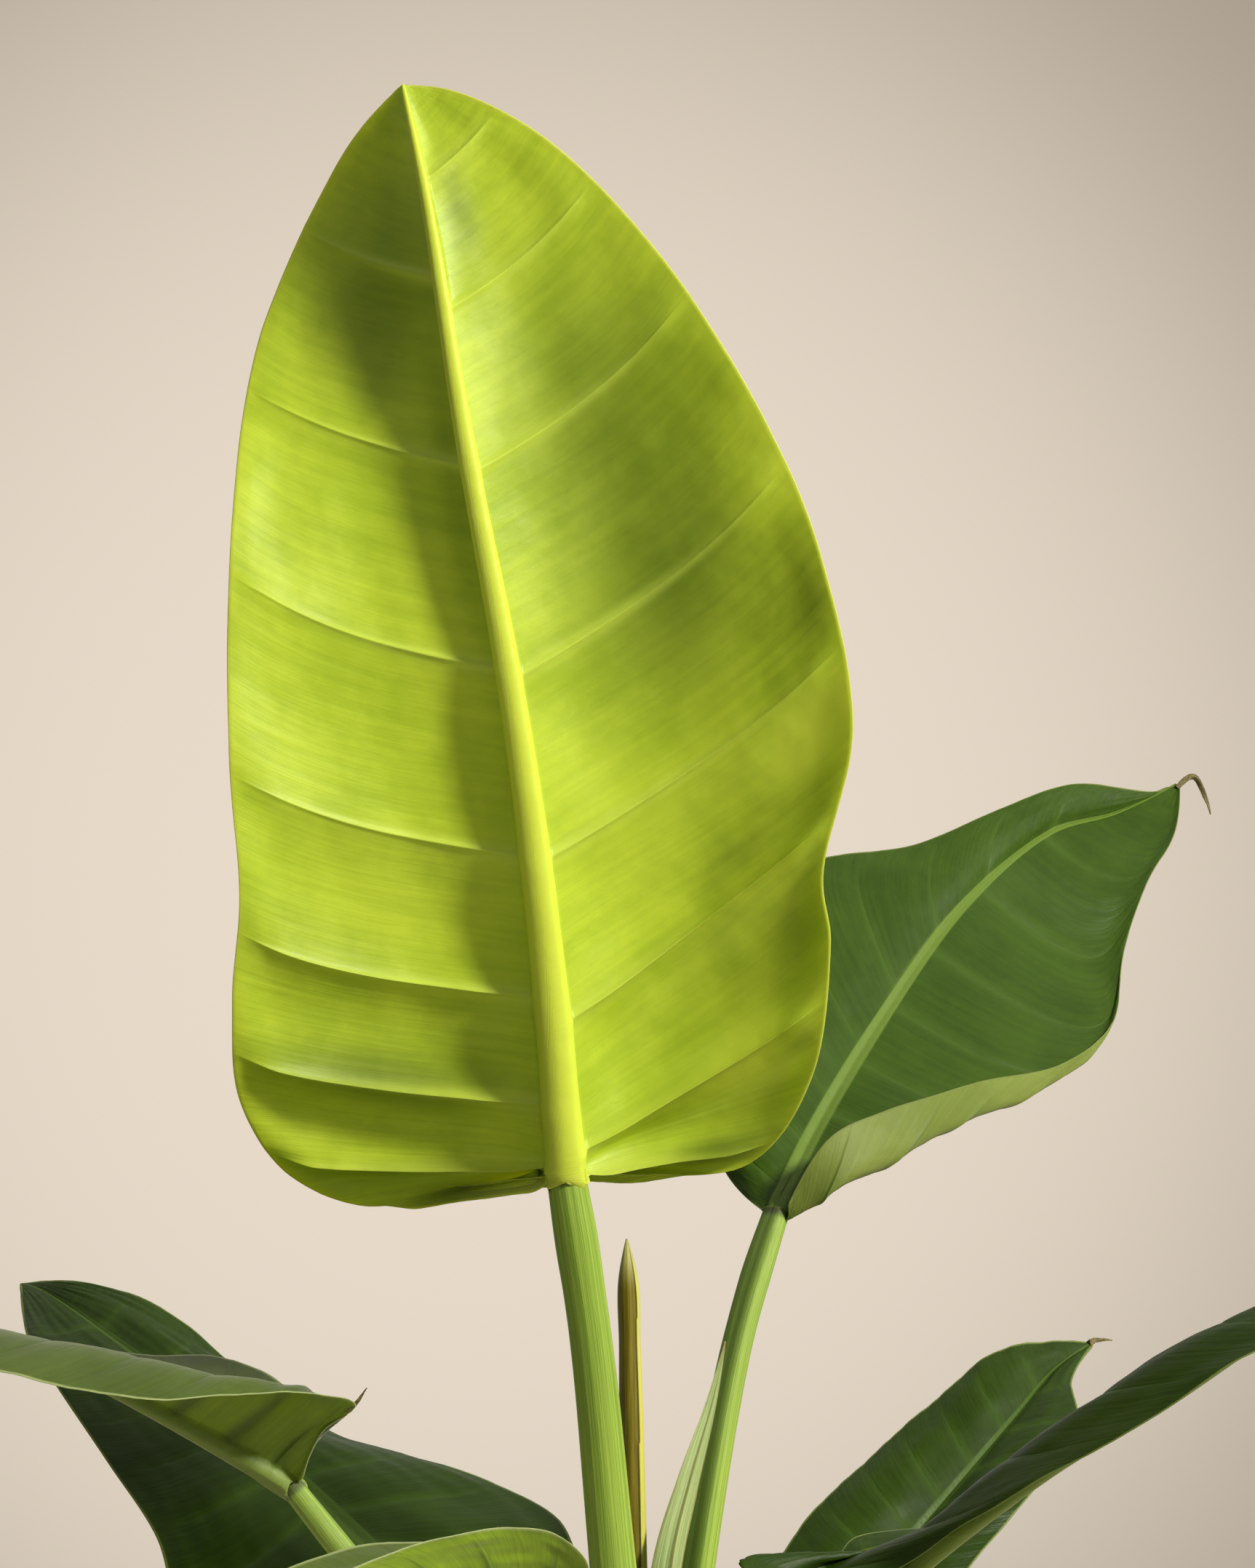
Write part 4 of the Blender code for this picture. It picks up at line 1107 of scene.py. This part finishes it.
def turned_mesh(name, profile, material, sides, attributes=None, crease_degrees=35):
    """A closed surface of revolution. attributes are lists with one value for each profile point."""
    profile = np.asarray(profile, float)
    angles = np.arange(sides) * 2 * math.pi / sides
    verts, rows, marks = [], [], []
    for number, (radius, height) in enumerate(profile):
        if radius < 1e-6:
            rows.append([len(verts)] * sides)
            verts.append((0.0, 0.0, height))
            marks.append(number)
        else:
            rows.append(list(range(len(verts), len(verts) + sides)))
            verts += [(radius * math.cos(a), radius * math.sin(a), height) for a in angles]
            marks += [number] * sides
    faces = []
    for low, high in zip(rows, rows[1:]):
        for step in range(sides):
            corner = [low[step], low[(step + 1) % sides], high[(step + 1) % sides], high[step]]
            faces.append(list(dict.fromkeys(corner)))
    values = {key: np.array(value)[marks] for key, value in (attributes or {}).items()}
    return add_mesh(name, verts, faces, material, crease_degrees, values)


def rounded(profile, radius, steps=5):
    """The profile with each inner corner turned into a short arc."""
    points = [np.array(p, float) for p in profile]
    result = [points[0]]
    for before, corner, after in zip(points, points[1:], points[2:]):
        back = before - corner
        ahead = after - corner
        reach = min(radius, 0.45 * np.linalg.norm(back), 0.45 * np.linalg.norm(ahead))
        a = corner + unit(back) * reach
        b = corner + unit(ahead) * reach
        for step in range(steps + 1):
            u = step / steps
            result.append((1 - u) ** 2 * a + 2 * u * (1 - u) * corner + u * u * b)
    return result + [points[-1]]


def build_pot(materials):
    """The pot, turned finely, with its foot ring, drain holes and lip where the CAD has them."""
    low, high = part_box("pot")
    rim = (high.x - low.x) / 2
    height = high.z
    lip_low = height - POT_LIP_HEIGHT
    base = POT_BASE_RADIUS
    inner_top = rim - POT_WALL
    inner_low = base - POT_WALL * 0.6
    profile = rounded(
        [
            (0, 0.0003), (0.020, 0.0003), (0.022, 0.003), (base - 0.007, 0.003), (base - 0.0055, 0),
            (base, 0), (rim - 0.0035, lip_low), (rim, lip_low + 0.0015), (rim, height),
            (inner_top, height), (inner_low, POT_FLOOR), (0, POT_FLOOR),
        ],
        0.0018,
    )
    fine = [profile[0]]
    for a, b in zip(profile, profile[1:]):
        pieces = max(1, int(np.linalg.norm(np.array(b) - np.array(a)) / 0.006))
        fine += [np.array(a) + (np.array(b) - np.array(a)) * (k + 1) / pieces for k in range(pieces)]
    highest = max(range(len(fine)), key=lambda number: fine[number][1])
    inner = [1.0 if number > highest and z < height - 0.004 else 0.0 for number, (_, z) in enumerate(fine)]
    pot = turned_mesh("pot_body", fine, materials["pot"], 192, {"inner_wall": inner})
    for number in range(DRAIN_COUNT):
        angle = 2 * math.pi * (number + 0.5) / DRAIN_COUNT
        drill = bpy.data.meshes.new("drill")
        tool = bmesh.new()
        bmesh.ops.create_cone(
            tool, cap_ends=True, segments=40, radius1=DRAIN_RADIUS, radius2=DRAIN_RADIUS, depth=0.03
        )
        spot = (DRAIN_REACH * math.cos(angle), DRAIN_REACH * math.sin(angle), 0.004)
        bmesh.ops.translate(tool, verts=tool.verts, vec=spot)
        tool.to_mesh(drill)
        tool.free()
        cutter = bpy.data.objects.new("drill", drill)
        bpy.context.scene.collection.objects.link(cutter)
        cut = pot.modifiers.new("hole", "BOOLEAN")
        cut.object = cutter
        cut.solver = "EXACT"
        bpy.context.view_layer.update()
        drilled = pot.evaluated_get(bpy.context.evaluated_depsgraph_get())
        with_hole = bpy.data.meshes.new_from_object(drilled)
        pot.modifiers.clear()
        pot.data = with_hole
        bpy.data.objects.remove(cutter)
    pot.data.set_sharp_from_angle(angle=math.radians(35))
    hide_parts("pot")


def build_soil(materials):
    """A lumpy mound of potting mix with bark chips and perlite lying on it."""
    low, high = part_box("soil")
    reach = (high.x - low.x) / 2 - 0.0006
    bottom = low.z + 0.0003
    rings, sides = 90, 220
    shares = np.linspace(0, 1, rings + 1)
    angles = np.arange(sides) * 2 * math.pi / sides

    def ground(x, y):
        distance = np.hypot(x, y) / reach
        crown = high.z - 0.004 * ease(distance) - 0.0022
        return crown + 0.0011 * waves(x * 45, y * 45, 3.0) + 0.0006 * waves(x * 160, y * 160, 8.0)

    x = reach * shares[:, None] * np.cos(angles)
    y = reach * shares[:, None] * np.sin(angles)
    top = np.stack([x, y, ground(x, y)], -1)[1:].reshape(-1, 3)
    centre = np.array([[0, 0, ground(np.zeros(1), np.zeros(1))[0]]])
    taper = reach - (high.z - bottom) * (POT_RIM_RADIUS - POT_BASE_RADIUS) / POT_HEIGHT
    foot = np.stack([taper * np.cos(angles), taper * np.sin(angles), np.full(sides, bottom)], -1)
    verts = np.concatenate([centre, top, foot, [[0, 0, bottom]]])
    index = 1 + np.arange((rings + 1) * sides).reshape(rings + 1, sides)
    beside = np.roll(index, -1, axis=1)
    faces = [[0, a, b] for a, b in zip(index[0], beside[0])]
    faces += np.stack([index[:-1], index[1:], beside[1:], beside[:-1]], -1).reshape(-1, 4).tolist()
    faces += [[a, len(verts) - 1, b] for a, b in zip(index[-1], beside[-1])]
    soil = add_mesh("soil_mound", verts, faces, materials["soil"], 40)
    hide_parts("soil")

    draw = np.random.default_rng(11)
    for kind, count, sizes, flat in CHIPS:
        verts, faces, tones = [], [], []
        for _ in range(count):
            angle = draw.uniform(0, 2 * math.pi)
            away = math.sqrt(draw.uniform(0.035, 0.93)) * reach
            size = draw.uniform(*sizes)
            chip = bmesh.new()
            bmesh.ops.create_icosphere(chip, subdivisions=2, radius=1.0)
            shape = np.array([v.co for v in chip.verts])
            triangles = [[v.index for v in f.verts] for f in chip.faces]
            chip.free()
            seed = draw.uniform(0, 90)
            squarer = np.sign(shape) * np.abs(shape) ** 0.75
            rough = 1 + 0.20 * waves(shape[:, 0] * 0.9 + shape[:, 2], shape[:, 1] * 0.9, seed)[:, None]
            shape = squarer * rough * np.array([size, size * draw.uniform(0.45, 0.8), size * flat])
            tilt = draw.normal(0, 0.28, 2)
            turn = draw.uniform(0, 2 * math.pi)
            shape = shape @ rotation(turn, *tilt).T
            spot = np.array([away * math.cos(angle), away * math.sin(angle), 0])
            spot[2] = ground(spot[:1], spot[1:2])[0] + size * flat * 0.35
            faces += [[len(verts) + k for k in t] for t in triangles]
            verts += (shape + spot).tolist()
            tones += [draw.uniform(0, 1)] * len(shape)
        chips = add_mesh(f"{kind}_chips", verts, faces, materials[kind], 60, {"chip_tone": tones})


def rotation(turn, tilt_x, tilt_y):
    """A turn about Z after two small tilts, as a 3 x 3 matrix."""
    c, s = math.cos(turn), math.sin(turn)
    cx, sx = math.cos(tilt_x), math.sin(tilt_x)
    cy, sy = math.cos(tilt_y), math.sin(tilt_y)
    about_z = np.array([[c, -s, 0], [s, c, 0], [0, 0, 1]])
    about_x = np.array([[1, 0, 0], [0, cx, -sx], [0, sx, cx]])
    about_y = np.array([[cy, 0, sy], [0, 1, 0], [-sy, 0, cy]])
    return about_z @ about_x @ about_y


def build_stem(materials):
    """The stem above and just below the soil, with raised leaf scars, each at a petiole's foot."""
    low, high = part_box("stem")
    rings, sides = 150, 72
    heights = np.linspace(low.z, high.z, rings + 1)
    angles = np.arange(sides) * 2 * math.pi / sides
    share = (heights - low.z) / (high.z - low.z)
    radius = (STEM_RADIUS + 0.002 * (1 - ease(share * 1.4)))[:, None] * np.ones(sides)
    scars = np.zeros((rings + 1, sides))
    for number, below in enumerate(SCARS_BELOW_CROWN):
        level = high.z - below + 0.0018 * np.sin(angles + 2.4 * number)
        scars = np.maximum(scars, np.exp(-(((heights[:, None] - level) / 0.0009) ** 2)))
    lumps = waves(np.cos(angles) * 0.6, heights[:, None] * 60 + np.sin(angles) * 0.6, 4.0)
    radius = radius + 0.0004 * lumps - 0.0003 * (1 - scars) + 0.0007 * scars
    rounded_top = np.sqrt(np.clip(1 - np.clip((share - 0.955) / 0.045, 0, 1) ** 2, 0.02, 1))
    radius = radius * rounded_top[:, None]
    levels = np.repeat(heights[:, None], sides, 1)
    verts = np.stack([radius * np.cos(angles), radius * np.sin(angles), levels], -1).reshape(-1, 3)
    stem = add_mesh(
        "stem_body", verts, tube_faces(rings, sides), materials["stem"], 60, {"scar": scars.ravel()}
    )
    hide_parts("stem")


def build_tip(name, route, radii, materials):
    """A dried, curled leaf tip."""
    knots = np.linspace(0, 1, len(radii))
    values = np.array(radii)[:, None] * MM

    def section(place, angle):
        flat = np.broadcast_to(place, np.broadcast(place, angle).shape)
        return smooth_through(values, knots, flat)[..., 0] * (1 + 0.25 * np.sin(3 * angle + 9 * place))

    tip = stalk_mesh(name, from_crown(route), section, materials["dried_tip"], 40, 16, (0, 0, 1))


def build_floor():
    """A pale floor that fades out at its edge."""
    g = Graph("floor")
    place = g.place()
    x, y, _ = g.split(place)
    grain = g.noise(place, 30.0, 4.0, 0.5)
    away = g.math("SQRT", g.math("ADD", g.math("POWER", x, 2.0), g.math("POWER", y, 2.0)))
    floor_material = g.finish(g.mix(g.span(grain, 0.3, 0.7), (0.66, 0.59, 0.50), (0.70, 0.63, 0.54)), 0.7)
    g.put(g.shader.inputs["Alpha"], g.span(away, FLOOR_SOLID, FLOOR_FADED, 1.0, 0.0))
    mesh = bpy.data.meshes.new("floor")
    disc = bmesh.new()
    bmesh.ops.create_circle(disc, cap_ends=True, segments=96, radius=FLOOR_RADIUS)
    disc.to_mesh(mesh)
    disc.free()
    mesh.materials.append(floor_material)
    floor = bpy.data.objects.new("floor", mesh)
    bpy.context.scene.collection.objects.link(floor)


def build_world():
    """A backdrop painted with a pool of light that darkens away from its middle, and soft light from above, the
    right and the rear.
    """
    world = bpy.data.worlds.new("studio")
    bpy.context.scene.world = world
    world.use_nodes = True
    g = Nodes(world.node_tree)
    background = g.tree.nodes["Background"]
    soft = g.add("ShaderNodeBackground")
    choice = g.add("ShaderNodeMixShader")
    g.put(choice.inputs[0], g.add("ShaderNodeLightPath").outputs["Is Camera Ray"])
    g.put(choice.inputs[1], soft.outputs[0])
    g.put(choice.inputs[2], background.outputs[0])
    g.put(g.tree.nodes["World Output"].inputs[0], choice.outputs[0])
    x, y, z = g.split(g.add("ShaderNodeTexCoord").outputs["Generated"])

    def stray(part, middle, spread):
        return g.math("MULTIPLY", g.math("POWER", g.math("SUBTRACT", part, middle), 2.0), spread)

    # Painted pool of light on the backdrop, darker away from its aim.
    ramp = g.add("ShaderNodeValToRGB")
    ramp.color_ramp.interpolation = "EASE"
    for stop, colour in zip(ramp.color_ramp.elements, (BACKDROP_PAINTED_LIGHT, BACKDROP_PAINTED_FALLOFF)):
        stop.color = (*colour, 1)
    g.put(ramp.inputs[0], g.math("ADD", stray(x, BACKDROP_AIM[0], 17.2), stray(z, BACKDROP_AIM[1], 15.0)))
    g.put(background.inputs["Color"], ramp.outputs[0])
    toward_light = g.math("MULTIPLY", g.math("ADD", g.math("ADD", x, y), z), 0.5)
    g.put(soft.inputs["Strength"], g.span(toward_light, -0.9, 0.9, *SOFT_LIGHT))
    soft.inputs["Color"].default_value = (1.0, 0.95, 0.88, 1)


def build_lights_and_camera():
    """The key light from the right and the front, a weak fill from the left, and the camera."""
    for name, place, size, power, colour in LIGHTS:
        light = bpy.data.lights.new(name, "AREA")
        light.shape = "DISK"
        light.size = size
        light.energy = power
        light.color = colour
        lamp = bpy.data.objects.new(name, light)
        bpy.context.scene.collection.objects.link(lamp)
        lamp.location = place
        aim = np.array(LIGHT_TARGET) - np.array(place)
        lamp.rotation_mode = "QUATERNION"
        lamp.rotation_quaternion = mathutils.Vector(aim.tolist()).to_track_quat("-Z", "Y")

    camera = bpy.data.cameras.new("camera")
    camera.sensor_width = 36.0
    camera.lens = CAMERA_LENS
    eye = bpy.data.objects.new("camera", camera)
    bpy.context.scene.collection.objects.link(eye)
    eye.location = CAMERA_PLACE
    eye.rotation_euler = (math.radians(90), 0, 0)
    bpy.context.scene.camera = eye
    bpy.context.scene.view_settings.view_transform = "Standard"


def build():
    materials = {name: leaf_material(name, **skin) for name, skin in LEAF_SKINS.items()}
    materials |= {
        "petiole": petiole_material(),
        "spear": spear_material(),
        "cataphyll": cataphyll_material(),
        "dried_tip": dried_material(),
        "stem": stem_material(),
        "soil": soil_material(),
        "bark": bark_material(),
        "perlite": perlite_material(),
        "pot": pot_material(),
    }
    for name, leaf in LEAVES.items():
        build_leaf(name, leaf, materials)
    build_spear(materials)
    build_cataphyll(materials)
    build_stem(materials)
    build_soil(materials)
    build_pot(materials)
    for name, route, radii in DRIED_TIPS:
        build_tip(name, route, radii, materials)
    build_floor()
    build_world()
    build_lights_and_camera()


build()
